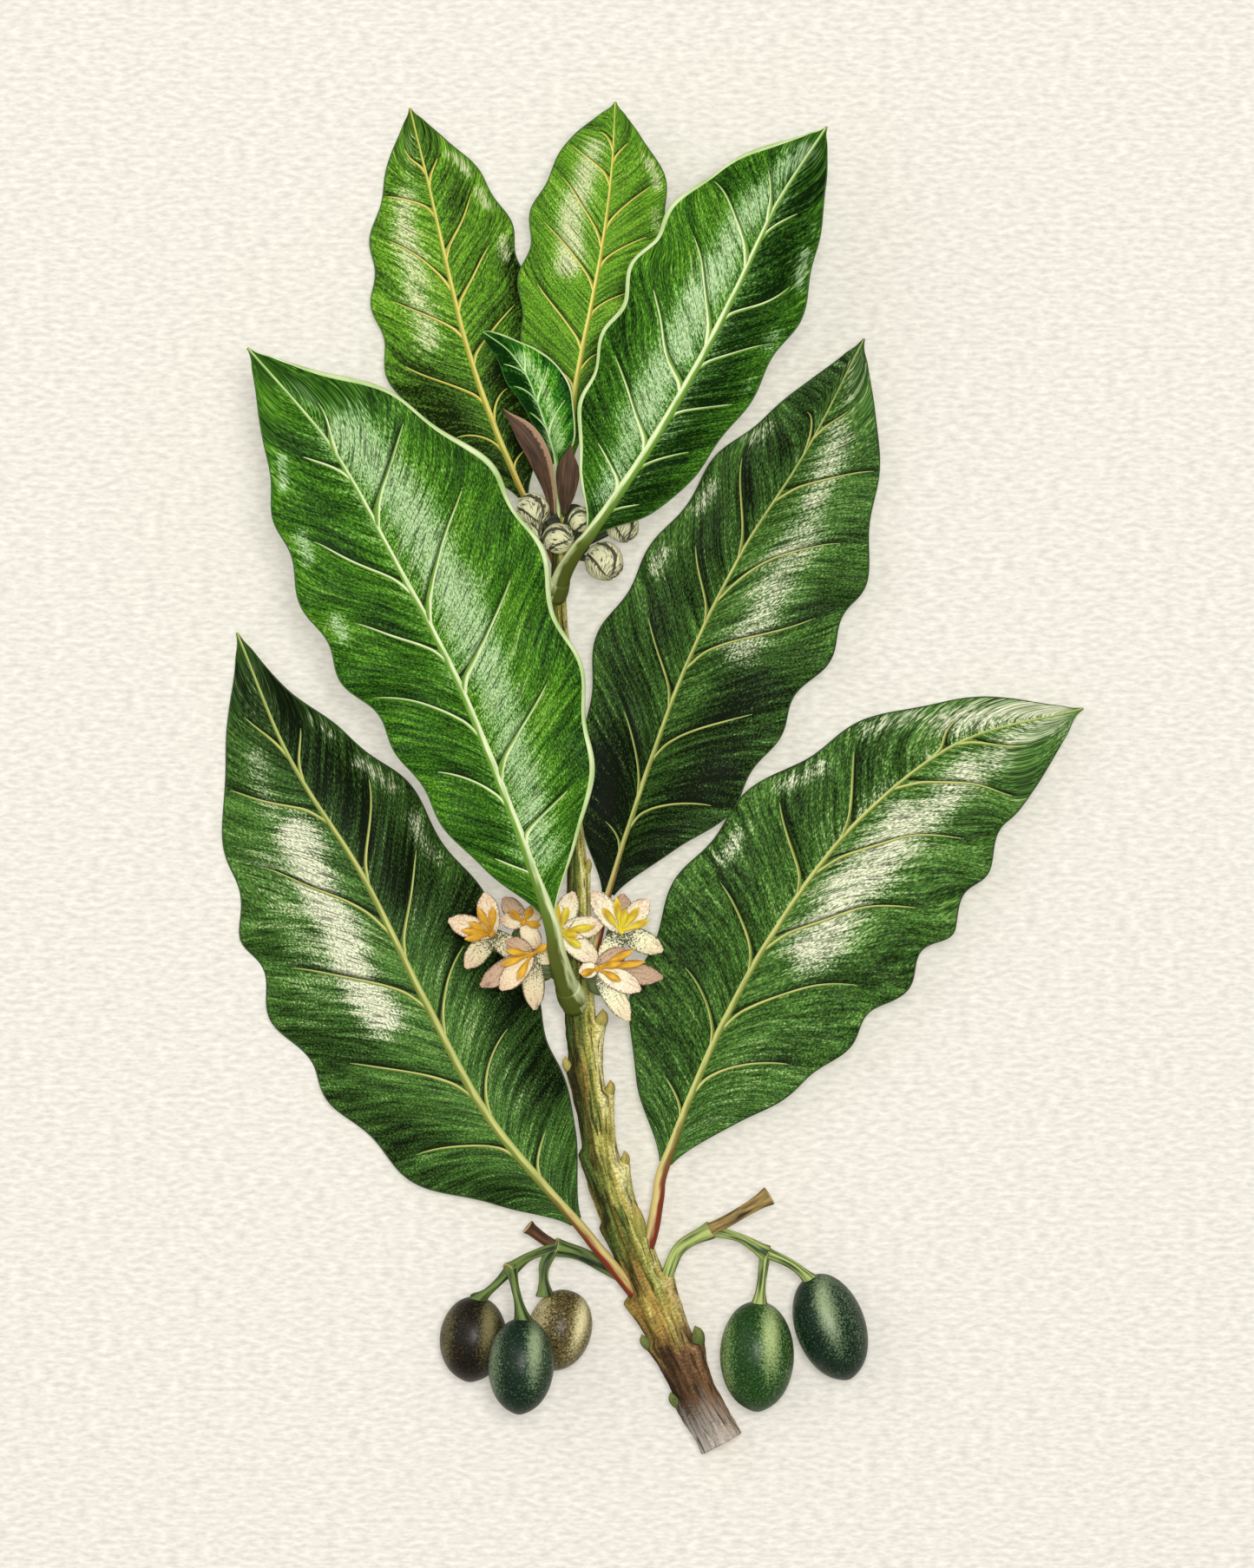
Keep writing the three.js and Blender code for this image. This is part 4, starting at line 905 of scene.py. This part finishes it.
# In mm: the lowest height of a blade's middle, its grain from one side vein to the next, and the
# half-width over which it swells in full.
BLADE_FLOOR, CELL, FULL_WIDTH = 0.4, 12.0, 6
# The share of the midrib that counts as one more side vein before the first and past the last.
LAST_GAP = 0.13
# The midrib's radii in mm. The radii of a common and a bold side vein, of a margin and of the sheath
# at a stalk's foot are shares of their sizes.
RIB_RADII = [0.85, 0.78, 0.68, 0.58, 0.46, 0.34, 0.2]
SIDE_VEIN_SHARES = [1.1, 1.05, 0.95, 0.85, 0.75, 0.6, 0.25]
BOLD_VEIN_SHARES = [1.8, 1.75, 1.25, 0.85, 0.75, 0.6, 0.25]
MARGIN_SHARES = [0.5, 0.9, 1, 0.85, 1.05, 0.9, 1.1, 0.8, 1, 0.25]
SHEATH_SHARES = [0.15, 0.6, 1.0, 1.1, 1.0]
# How far a side vein runs down the midrib before it leaves it, and the share over which it bends off.
RUN_DOWN, BEND_OFF = 0.025, 0.07


def vein_place(vein, share):
    """How far along the leaf a side vein is at a share of the way from midrib to margin."""
    start, middle, middle_share, end, end_share = vein
    to_middle = (middle - start) / middle_share
    to_end = (end - start) / end_share
    bend = (to_end - to_middle) / (end_share - middle_share)
    slope = to_middle - bend * middle_share
    if share <= end_share:
        return start + slope * share + bend * share * share
    return end + max(slope + 2 * bend * end_share, 0.0) * (share - end_share)


class Leaf:
    """The form of one leaf, read by the share along its midrib and the signed share across."""

    def __init__(self, name, sizes):
        self.plan = plan = LEAVES[name]
        self.rise, self.waves, self.half_widths, veins = [
            {side: plan[side][k] for side in SIDES} for k in range(4)
        ]
        self.veins = {side: [[n / 100 for n in vein] for vein in veins[side]] for side in SIDES}
        self.washes = [(*[n / 100 for n in wash[:4]], *wash[4:]) for wash in plan["washes"]]
        self.seed = 17.0 * list(LEAVES).index(name)
        self.scale = plan.get("scale", 1.0)
        self.sizes = sizes
        self.quilt = sizes.quilt / MM * self.scale
        self.thickness = sizes.thickness / MM
        self.midrib_length = Line(plan["midrib"]).length
        self.whole = Line(plan["stalk"] + plan["midrib"])
        self.stalk_share = 1 - self.midrib_length / self.whole.length
        self.stations = {}
        self.places = {}

    def station(self, t):
        key = round(t, 5)
        if key not in self.stations:
            u = self.stalk_share + (1 - self.stalk_share) * t
            self.stations[key] = (self.whole.at(u), sideways(self.whole.along(u)))
        return self.stations[key]

    def width(self, t, side):
        point = min(1.0, 0.25 + 25 * (1 - t))  # over the last 3 % of the midrib
        return read_at(self.half_widths[side], t) * (1 + WAVE_REACH * self.wave(t, side)) * point

    def wave(self, t, side):
        turns = 2 * math.pi * self.waves[side] * t + (0 if side == "left" else WAVE_LEAD)
        return math.sin(turns) * math.sqrt(max(math.sin(math.pi * t), 0.0))

    def phase(self, t, side, share):
        """The number of side veins passed here, counted smoothly from one to the next."""
        key = (side, round(share, 5))
        if key not in self.places:
            self.places[key] = [vein_place(vein, share) for vein in self.veins[side]]
        places = self.places[key]
        i = bisect.bisect_right(places, t)
        if i == 0:
            return (t - places[0]) / LAST_GAP
        if i == len(places):
            return i - 1 + (t - places[-1]) / LAST_GAP
        return i - 1 + (t - places[i - 1]) / max(places[i] - places[i - 1], 0.01)

    def point(self, t, v):
        """A point of the blade's middle sheet."""
        side = "left" if v > 0 else "right"
        share = abs(v)
        centre, left = self.station(t)
        width = self.width(t, side)
        rise = self.rise[side] * share + BLADE_ARCH * 4 * share * (1 - share)
        rise += WAVE_HEIGHT * self.wave(t, side) * share**3
        spot = centre + left * (v * width)
        grown = min(1.0, 12 * t)  # it rises to its full height over its first twelfth
        spot.z = max(spot.z + rise * width * grown, BLADE_FLOOR)
        phase = self.phase(t, side, share)
        swell = math.sin(math.pi * (phase - math.floor(phase)))
        room = math.sin(math.pi * min(share * 1.05, 1.0)) ** 0.7 if share > 0 else 0.0
        spot.z += self.quilt * (swell - 0.5) * room * min(1.0, width / FULL_WIDTH)
        return spot

    def wash(self, t, v, width):
        """How much painted highlight (pale) and painted shade (deep) the washes lay at a place."""
        pale = deep = 0.0
        for t0, v0, t1, v1, radius, strength in self.washes:
            along, across = (t1 - t0) * self.midrib_length, (v1 - v0) * width
            from_t, from_v = (t - t0) * self.midrib_length, (v - v0) * width
            size = along * along + across * across
            share = min(max((from_t * along + from_v * across) / size, 0.0), 1.0)
            away = math.hypot(from_t - share * along, from_v - share * across)
            amount = abs(strength) * bell(away, radius)
            if strength > 0:
                pale = max(pale, amount)
            else:
                deep = max(deep, amount)
        return pale, deep

    def beside_vein(self, side, share, phase):
        """How clear the painted shadow beside the nearest side vein is: it fades past the vein's end."""
        nearest = round(phase)
        if not 0 <= nearest < len(self.veins[side]):
            return 0.0
        return 0.9 * min(max((self.veins[side][nearest][4] + 0.15 - share) / 0.25, 0.0), 1.0)


def behind_vein(share, phase):
    """The painted shade where the blade dips behind a side vein before it swells to the next."""
    passed = phase - math.floor(phase)
    return 0.55 * (1 - passed) ** 2 * min(passed / 0.06, 1) * min(max((share - 0.1) / 0.4, 0), 1)


def blade(bm, leaf):
    """The leaf's blade: a grid laid over its form, with its patterns' coordinates, made thick."""
    grain_layer, tone_layer = layers(bm)
    rows = int(leaf.sizes.rows * (0.5 if leaf.scale < 1 else 1))
    verts, faces = flat_grid(bm, rows, int(leaf.sizes.columns * (0.4 if leaf.scale < 1 else 1)))
    for vert in verts:
        t = (vert.co.x + 1) / 2
        v = math.copysign(abs(vert.co.y) ** 1.15, vert.co.y)  # with finer steps beside the midrib
        side = "left" if v > 0 else "right"
        share = abs(v)
        width = leaf.width(t, side)
        phase = leaf.phase(t, side, share)
        # pale and deep carry the washes' painted highlight and painted shade; the painted shade behind
        # each side vein is added to deep.
        pale, deep = leaf.wash(t, v, max(width, 1.0))
        deep += behind_vein(share, phase) * (1 - pale)
        vert.co = leaf.point(t, v)
        vert.co.z = max(vert.co.z - leaf.thickness / 2, 0.0)
        vert[grain_layer] = (phase * CELL * leaf.scale, v * width, leaf.seed + (5 if v > 0 else 0))
        vert[tone_layer] = (pale, deep, leaf.beside_vein(side, share, phase))
    thicken(bm, faces, leaf.thickness, below=2, rim=3)


def ribs(bm, leaf):
    """The midrib with the stalk, and the side veins, sunk half into the blade."""
    plan = leaf.plan
    top = leaf.thickness / 2
    tone_layer = layers(bm)[1]
    stalk_part = max(1, round(len(RIB_RADII) * leaf.stalk_share / (1 - leaf.stalk_share)))
    foot, neck = plan.get("stalk_radii", (RIB_RADII[0], RIB_RADII[0]))
    radii = [radius * plan["ribs"] for radius in [foot] * stalk_part + [neck] + RIB_RADII[1:]]
    radii[0] *= 1.3  # the stalk widens at its foot
    blade_verts = set(bm.verts)

    def stalk(share):
        return min(max((leaf.stalk_share * 1.7 - share) / leaf.stalk_share, 0.0), 1.0)

    spots = []
    for k in range(101):
        share = k / 100
        lift = max(top - 0.4 * read_at(radii, share), 0.0) * (1 - stalk(share))
        spots.append(raised(leaf.whole.at(share), lift))
    limb(bm, Line(spots, steps=100), radii, sides=16, stations=120, finish=1, third=stalk)
    if "stalk_radii" in plan:
        # A stalk with its own radii has painted shade along one side, and a sheath runs from its foot
        # into the stem, 4 mm back and 2.4 mm down, with painted shade that deepens towards its foot.
        for vert in set(bm.verts) - blade_verts:
            vert[tone_layer].y -= plan["lit"] * 0.45 * vert[tone_layer].z
        start = leaf.whole.at(0)
        back = start - leaf.whole.along(0.02) * 4.0
        buried = (back.x, back.y, start.z - 2.4)
        sheath = Line([buried, start - Vector((0, 0, 0.3)), leaf.whole.at(0.04)])
        sheath_radii = [radii[0] * share for share in SHEATH_SHARES]
        before = set(bm.verts)
        limb(bm, sheath, sheath_radii, sides=16, stations=20, finish=1, third=lambda share: 1)
        for vert in set(bm.verts) - before:
            vert[tone_layer].y -= plan["lit"] * (0.3 + 1.1 * (1 - vert[tone_layer].x))
            vert[tone_layer].x = 0.0
    for vert in set(bm.verts) - blade_verts:
        vert[tone_layer].x *= 0.85
    width = leaf.sizes.side_vein / MM * plan["ribs"] ** 0.5
    for side, sign in SIDES.items():
        shares = BOLD_VEIN_SHARES if plan.get("pale_margin") == side else SIDE_VEIN_SHARES
        radii = [width * share for share in shares]
        for vein in leaf.veins[side]:
            reach = min(vein[4] + 0.04, 0.97)
            spots = []
            for k in range(10):
                share = reach * k / 9
                run_down = RUN_DOWN * math.exp(-share / BEND_OFF)
                lift = top - (0.25 if k < 9 else 0.9) * width * read_at(shares, k / 9)
                spot = leaf.point(vein_place(vein, share) - run_down, sign * share)
                spots.append(raised(spot, lift))
            limb(bm, Line(spots), radii, 10, 36, finish=1, flat=0.7, third=lambda share: 0)
    # The ribs' pale strip, a painted highlight, turns to the leaf's lit side.
    for vert in set(bm.verts) - blade_verts:
        vert[tone_layer].y *= plan["lit"]


def margins(bm, leaf):
    """The leaf's thickened margins, as slim cords from its foot to its tip."""
    steps = 150
    for side, sign in SIDES.items():
        pale = leaf.plan.get("pale_margin") == side
        size = leaf.sizes.pale_margin if pale else leaf.sizes.margin
        radius = size / MM * (0.6 if leaf.scale < 1 else 1)
        line = Line([leaf.point(k / steps, sign) for k in range(steps + 1)], steps)
        radii = [radius * share for share in MARGIN_SHARES]
        limb(bm, line, radii, sides=8, stations=steps, finish=4 if pale else 3)


class LAUREL_OT_leaves(Operator):
    """Grow the leaves with their stalks, ribs, side veins and wavy margins"""

    bl_idname = "laurel.leaves"
    bl_label = "Leaves"

    def execute(self, context):
        underside = streaked("leaf_underside", "#748c48", "#97ad67", (0.8, 0.15, 1), 0.65)
        for name in LEAVES:
            leaf = Leaf(name, context.scene.laurel)
            # bloom is how strong the leaf's painted sheen is, and rib holds its painted highlight strip.
            shades, bloom, rib, edge = LEAF_FINISHES[leaf.plan["finish"]]
            bm = new_mesh()
            for grow in (blade, ribs, margins):
                grow(bm, leaf)
            finishes = [
                waxy_blade(name + "_cuticle", shades, bloom, CELL * leaf.scale),
                leaf_rib(name + "_rib", rib, shades[3]),
                underside,
                streaked(name + "_margin", edge, shades[1], (1, 0.2, 1), 0.6),
                streaked(name + "_rolled_margin", "#a6c870", "#e2ecb8", (1.4, 0.2, 1), 0.55),
            ]
            finish_piece(bm, name, finishes)
        return {"FINISHED"}


# ---- Stem


def bark_relief(share, angle, place):
    """How far bark stands out at a place: long ridges, fine cracks and a ledge under each bud."""
    twist = angle + 0.05 * place.y
    around = Vector((math.cos(twist), math.sin(twist), 0))
    ridge = noise.noise(Vector((around.x * 2.2, around.y * 2.2, place.y * 0.13)))
    crack = noise.noise(Vector((around.x * 7.0, around.y * 7.0, place.y * 0.45 + 40)))
    ledges = 0.0
    for along, side, long, _, ledge in STEM_BUDS:
        below = (along - share) * STEM_LENGTH - long / 2
        fade = bell(below, 0.5) if below < 0 else math.exp(-((below / 3.6) ** 1.4))
        ledges += ledge * fade * max(0.0, -math.sin(angle + math.radians(side))) ** 2
    return read_at(STEM_RADII, share) * (0.1 * ridge + 0.07 * crack) + ledges


def stem_bud(bm, line, along, side, long, size, ledge):
    """A dormant bud that leans on the stem above its ledge; the lowest are green, the rest dry."""
    forward = line.along(along)
    turn = math.radians(side)
    out = sideways(forward) * -math.cos(turn) + Vector((0, 0, math.sin(turn)))
    centre, reach = line.at(along), read_at(STEM_RADII, along)
    root = centre + out * (reach * 0.8 + ledge * 0.4) - forward * (long * 0.5 + 0.6)
    middle = centre + out * (reach + ledge * 0.75)
    tip = centre + out * (reach + ledge * 0.85) + forward * (long * 0.5)
    radii = [size * share for share in (0.6, 0.85, 0.98, 0.98, 0.85, 0.55, 0.1)]
    finish = 3 if along < 0.15 else 2
    limb(bm, Line([root, middle, tip]), radii, 14, 18, finish, third=lambda share: 0.6)


class LAUREL_OT_stem(Operator):
    """Grow the woody stem with its ridged bark, small buds and cut end"""

    bl_idname = "laurel.stem"
    bl_label = "Stem"

    def execute(self, context):
        bm = new_mesh()
        line = Line(STEM_LINE)
        faces = limb(bm, line, STEM_RADII, sides=56, stations=400, bulge=bark_relief)
        cut = min(limb_ends(faces), key=lambda face: face.calc_center_median().y)
        bmesh.ops.inset_region(bm, faces=[cut], thickness=0.45, depth=-0.15)
        cut.material_index = 1
        for bud in STEM_BUDS:
            if bud[3]:
                stem_bud(bm, line, *bud)
        wood = streaked("cut_wood", "#b79c68", "#dcc695", (1.2, 1.2, 1), 0.8)
        dry_scale = hatched_scale("stem_bud_scale", "#a09a4c", "#3a3012", "#d8b268")
        green_scale = hatched_scale("stem_bud_green_scale", "#5d6a34", "#1c2210", "#8f9450")
        finish_piece(bm, "stem", [bark_finish(), wood, dry_scale, green_scale])
        return {"FINISHED"}


# ---- Bracts and round buds


class LAUREL_OT_bracts(Operator):
    """Grow the two brown bracts at the tip of the stem"""

    bl_idname = "laurel.bracts"
    bl_label = "Bracts"

    def execute(self, context):
        for name, (points, half_widths, edge) in BRACTS.items():
            bm = new_mesh()
            scale_leaf(bm, Line(points), half_widths, 0.35, 0.5, rows=28)
            finish_piece(bm, name, [bract_finish(name + "_scale", edge)])
        return {"FINISHED"}


# How far a round bud's tip leans towards the eye.
LEANING = Matrix.Rotation(math.radians(62), 3, "X")


def bud_seams(spin, tilt):
    """Five scales that wrap a bud: the seams between them are sunk, and each scale laps the next.

    The second value is how dark the bud is drawn: its dark seams, painted shade along one side of
    each seam, and darker towards its two poles.
    """
    scale = (2.5 * spin / math.pi + 0.35 * math.sin(tilt * 1.4)) % 1.0
    groove = bell(min(scale, 1 - scale), 0.055) * min(1.0, 2 * math.sin(tilt))
    lap = 0.12 * (scale - 0.5) * math.sin(tilt)
    flank = 0.3 * math.exp(-scale / 0.2) * math.sin(tilt)
    return 1 - 0.16 * groove + lap, 0.8 * groove + flank + 0.25 * math.cos(tilt) ** 4


class LAUREL_OT_buds(Operator):
    """Grow the two clusters of round flower buds under the tip"""

    bl_idname = "laurel.buds"
    bl_label = "Round buds"

    def execute(self, context):
        scales = bud_finish()
        green = streaked("bud_stalk", "#12170a", "#3d4724", (2, 0.3, 1), 0.7)
        for name, (root, core, core_size, balls) in BUD_CLUSTERS.items():
            bm = new_mesh()
            for centre, radius, turn in balls:
                limb(bm, Line([root, centre]), [0.45, 0.5], sides=10, stations=8, finish=1)
                turned = Matrix.Rotation(math.radians(turn), 3, "Z") @ LEANING
                ball(bm, centre, (radius, radius, radius * 1.04), turned, 96, 40, bud_seams)
            # The dark core is partly the buds' short shoot and partly painted shade in the gaps between
            # them.
            ball(bm, core, core_size, finish=1)
            finish_piece(bm, name, [scales, green])
        return {"FINISHED"}


# ---- Blooms

TEPAL_WIDTHS = [0.6, 1.2, 1.5, 1.58, 1.5, 1.15, 0.3]
# A tepal sets out at this slope and turns level near its tip. One that is longer than the second
# value, in mm, rises no higher than one of that length, and one in shade lies lower by the third.
TEPAL_SLOPE, TEPAL_LONGEST, SHADE_DEPTH = 0.34, 6.5, 0.7
# In mm: how far below its bloom's middle a cup's middle lies, half the cup's height, how far below
# the bloom's middle its stalk ends, and how far above it the stamens stand.
CUP_DEPTH, CUP_HEIGHT, STALK_DEPTH, STAMEN_HEIGHT = 1.0, 1.1, 1.2, 1.1
STAMEN_RADII = [0.2, 0.2, 0.3, 0.5, 0.56, 0.46, 0.08]
# The colours of a tepal's paper, its ink and its tip, and how far its dark foot reaches. The three
# blooms on the left are flushed. The last finish, for a tepal that lies in shade, is darker: painted
# shade.
TEPAL_FINISHES = (
    ("tepal_inside_flushed", "#f7e9c4", "#7c4a38", "#d2a586", 0.35),
    ("tepal_back_flushed", "#e6daae", "#26331a", "#cfa88c", 0.75),
    ("tepal_inside", "#fffbdc", "#7a5438", "#e0b492", 0.35),
    ("tepal_back", "#faf8cc", "#26331a", "#deb692", 0.75),
    ("tepal_in_shade", "#d2b696", "#4c2c20", "#ad846e", 0.6),
)


def plan_direction(degrees):
    """The level direction at an angle from the plan's right."""
    return Vector((math.cos(math.radians(degrees)), math.sin(math.radians(degrees)), 0))


def tepal(bm, centre, direction, long, kind):
    """One tepal from a bloom's middle outwards: cupped, or arched where it shows its back."""
    out = plan_direction(direction)
    points = []
    for share in (0, 0.25, 0.5, 0.75, 1):
        lift = TEPAL_SLOPE * min(long, TEPAL_LONGEST) * (share - 0.55 * share * share)
        lowered = SHADE_DEPTH if kind == 2 else 0.0
        points.append(raised(Vector(centre) + out * (share * long), lift - lowered))
    widths = [width * min(1.0, 0.5 + long / 12) for width in TEPAL_WIDTHS]
    hollow, ink = (-0.3, 1.0) if kind == 1 else (0.3, 0.6)
    scale_leaf(bm, Line(points), widths, hollow, 0.35, rows=20, finish=kind, ink=ink)


class LAUREL_OT_blooms(Operator):
    """Grow the open flowers: a few tepals round a green cup, and a fan of yellow stamens"""

    bl_idname = "laurel.blooms"
    bl_label = "Blooms"

    def execute(self, context):
        *petals, shaded = [hatched_scale(*finish) for finish in TEPAL_FINISHES]
        cup = streaked("flower_cup", "#1f2a12", "#66743e", (2.5, 0.5, 1), 0.6)
        gold = streaked("anther", "#a0660c", "#efb92c", (2.2, 0.5, 1), 0.6)
        lemon = streaked("anther_fresh", "#be9014", "#f9ea42", (2.2, 0.5, 1), 0.6)
        for k, (centre, cup_shift, cup_size, tepals, stamens) in enumerate(BLOOMS):
            bm = new_mesh()
            below = Vector(centre) + Vector((*cup_shift, -CUP_DEPTH))
            # The dark cup also fills the gaps between the tepals: partly the flower's cup, partly painted
            # shade.
            ball(bm, below, (cup_size, cup_size, CUP_HEIGHT), around=28, rows=16, finish=3)
            for direction, long, kind in tepals:
                tepal(bm, centre, direction, long, kind)
            finishes = [*(petals[:2] if k < 3 else petals[2:]), shaded, cup]
            finish_piece(bm, f"bloom_{k + 1}_tepals", finishes)
            bm = new_mesh()
            foot = raised(centre, STAMEN_HEIGHT)
            ball(bm, foot, (0.45, 0.45, 0.4), around=20, rows=10)
            for direction, long in stamens:
                way = plan_direction(direction)
                reaches = ((0.1, 0.0), (0.45 * long, 0.8), (long, 1.5))  # outwards and up
                line = Line([raised(foot + way * out, up) for out, up in reaches])
                limb(bm, line, STAMEN_RADII, sides=10, stations=20, flat=0.4)
            finish_piece(bm, f"bloom_{k + 1}_stamens", [lemon if k in (3, 4) else gold])
        return {"FINISHED"}


class LAUREL_OT_flower_stalks(Operator):
    """Grow the short green stalks that carry the blooms"""

    bl_idname = "laurel.flower_stalks"
    bl_label = "Flower stalks"

    def execute(self, context):
        green = streaked("flower_stalk", "#3d4f20", "#93a45a", (2.2, 0.25, 1), 0.55)
        for name, (root, blooms) in FLOWER_STALKS.items():
            bm = new_mesh()
            start = Vector(root)
            for k in blooms:
                end = Vector(BLOOMS[k][0]) - Vector((0, 0, STALK_DEPTH))
                middle = raised((start + end) / 2, 0.5)
                limb(bm, Line([start, middle, end]), [0.5, 0.42, 0.6], sides=14, stations=20)
            finish_piece(bm, name, [green])
        return {"FINISHED"}


# ---- Berries


def stalk_relief(share, angle, place):
    """The fine ridges of a green stalk, and the swelling where it forks."""
    ridge = noise.noise(Vector((math.cos(angle) * 2, math.sin(angle) * 2, place.y * 0.4)))
    return 0.07 * ridge + 0.2 * (bell(share, 0.07) + bell(1 - share, 0.09))


class LAUREL_OT_fruit_stalks(Operator):
    """Grow the branched stalks that carry the berries"""

    bl_idname = "laurel.fruit_stalks"
    bl_label = "Fruit stalks"

    def execute(self, context):
        cut = streaked("stub_cut_wood", "#a88a58", "#dfc48c", (1.4, 1.4, 1), 0.8)
        for name, (greens, browns, arms) in FRUIT_STALKS.items():
            bm = new_mesh()
            brown = streaked(name + "_stub", *browns, (2.2, 0.3, 1), 0.75, 0.12)
            green = streaked(name + "_skin", *greens, (1.7, 0.16, 1), 0.6, 0.1, (0.38, 0.6))
            for points, radii, stub in arms:
                faces = limb(bm, Line(points), radii, 20, 40, finish=stub, bulge=stalk_relief)
                start = Vector(points[0])
                far = max(limb_ends(faces), key=lambda face: (face.calc_center_median() - start).length)
                far.material_index = 2
            finish_piece(bm, name, [green, brown, cut])
        return {"FINISHED"}


def berry_form(spin, tilt):
    """A berry's form and how much bloom, its painted highlight and rim light, covers it.

    It is a little dented round its stalk, with a small point where the style was. The bloom is a
    painted highlight, thick along its upper right, and a thinner painted rim light along its left flank
    and its right edge, with a bare band between that is painted darker.
    """
    point = 0.025 * bell(math.pi - tilt, 0.22)
    dent = 0.02 * bell(tilt, 0.35)
    right, up = math.cos(spin) * math.sin(tilt), -math.sin(spin) * math.sin(tilt)
    # top is the painted highlight on the upper right, flank the painted rim light on the left flank and
    # the right edge.
    top = bell(right - 0.36, 0.25) * bell(tilt - 1.15, 0.75) * (up > 0)
    flank = 0.4 * bell(right + 0.85, 0.22) + 0.2 * bell(right - 0.9, 0.2)
    return 1 + point - dent, top + flank


class LAUREL_OT_berries(Operator):
    """Grow the five oval berries"""

    bl_idname = "laurel.berries"
    bl_label = "Berries"

    def execute(self, context):
        for name, (centre, size, direction, finish, slot) in BERRIES.items():
            bm = new_mesh()
            turn = Vector((0, 0, 1)).rotation_difference(Vector(direction)).to_matrix()
            ball(bm, centre, (size[0], size[2], size[1]), turn, around=72, rows=48, shape=berry_form)
            finish_piece(bm, name, [berry_skin(name + "_skin", *BERRY_FINISHES[finish])])
        return {"FINISHED"}


# ---- Stage

# The height of the plan that the camera sees in metres, and its lens and sensor in mm.
VIEW_HEIGHT = 216.84 * MM
LENS, SENSOR = 200.0, 36.0
# Each soft lamp: its place and its size in metres, and its power in watts.
LAMPS = {
    "key": ((0.07, 0.09, 1.35), 0.35, 12.0),
    "fill": ((-0.75, 0.30, 0.95), 1.2, 4.0),
}
# The light that comes from all round: nearly white, a little warm.
WORLD_LIGHT = {"Color": (1.0, 0.985, 0.955, 1), "Strength": 0.32}


def paper(floor_colour):
    """Matt uncoated paper on a faintly lit table: an even pale cream with a faint tooth."""
    cream = (*floor_colour, 1)
    material, tree = new_material("matt_paper", 0.9, 1.4, Emission_Strength=0.3, Emission_Color=cream)
    # The tooth of the paper is about 1.5 mm wide and 0.6 mm long.
    tooth = strokes(tree, add(tree, "TexCoord", {})["Object"], (640, 1700, 1), Detail=3.0)[0]
    return surfaced(material, dusted(tree, cream, tooth, 0.3, 0.7, 0.52, 0.78), tooth, 0.6, 0.4)


class LAUREL_OT_stage(Operator):
    """Set the pale floor, the soft studio light and the camera that looks straight down"""

    bl_idname = "laurel.stage"
    bl_label = "Stage"

    def execute(self, context):
        scene = context.scene
        scene.view_settings.view_transform = "Standard"
        bm = bmesh.new()
        bmesh.ops.create_grid(bm, x_segments=1, y_segments=1, size=1.5)
        floor = place_mesh(bm, "floor")
        floor.data.materials.append(paper(scene.laurel.floor))

        camera = bpy.data.objects.new("camera", bpy.data.cameras.new("camera"))
        camera.data.lens = LENS
        camera.data.sensor_width = SENSOR
        camera.data.clip_end = 10
        camera.location = (PLAN_SHIFT.x, PLAN_SHIFT.y, VIEW_HEIGHT * LENS / SENSOR)
        scene.collection.objects.link(camera)
        scene.camera = camera

        for name, (place, size, power) in LAMPS.items():
            lamp = bpy.data.objects.new(name, bpy.data.lights.new(name, "AREA"))
            lamp.data.size = size
            lamp.data.energy = power
            lamp.location = place
            lamp.rotation_euler = Vector(place).to_track_quat("Z", "Y").to_euler()
            scene.collection.objects.link(lamp)
        scene.world = bpy.data.worlds.new("studio")
        scene.world.use_nodes = True
        for socket, value in WORLD_LIGHT.items():
            scene.world.node_tree.nodes["Background"].inputs[socket].default_value = value
        return {"FINISHED"}


# ---- Panel and registration

STEPS = (
    LAUREL_OT_stage, LAUREL_OT_stem, LAUREL_OT_leaves, LAUREL_OT_bracts, LAUREL_OT_buds,
    LAUREL_OT_blooms, LAUREL_OT_flower_stalks, LAUREL_OT_fruit_stalks, LAUREL_OT_berries,
)


class LAUREL_PT_branch(Panel):
    """The sidebar panel with the branch's steps and settings"""

    bl_label = "Bay laurel branch"
    bl_idname = "LAUREL_PT_branch"
    bl_space_type = "VIEW_3D"
    bl_region_type = "UI"
    bl_category = "Laurel"

    def draw(self, context):
        column = self.layout.column()
        for step in STEPS:
            column.operator(step.bl_idname)
        for name in LaurelSettings.__annotations__:
            column.prop(context.scene.laurel, name)


CLASSES = (LaurelSettings, *STEPS, LAUREL_PT_branch)


def register():
    for cls in CLASSES:
        bpy.utils.register_class(cls)
    bpy.types.Scene.laurel = PointerProperty(type=LaurelSettings)


def unregister():
    del bpy.types.Scene.laurel
    for cls in reversed(CLASSES):
        bpy.utils.unregister_class(cls)


def main():
    register()
    bpy.ops.laurel.stage()
    bpy.ops.laurel.stem()
    bpy.ops.laurel.leaves()
    bpy.ops.laurel.bracts()
    bpy.ops.laurel.buds()
    bpy.ops.laurel.blooms()
    bpy.ops.laurel.flower_stalks()
    bpy.ops.laurel.fruit_stalks()
    bpy.ops.laurel.berries()


if __name__ == "__main__":
    main()
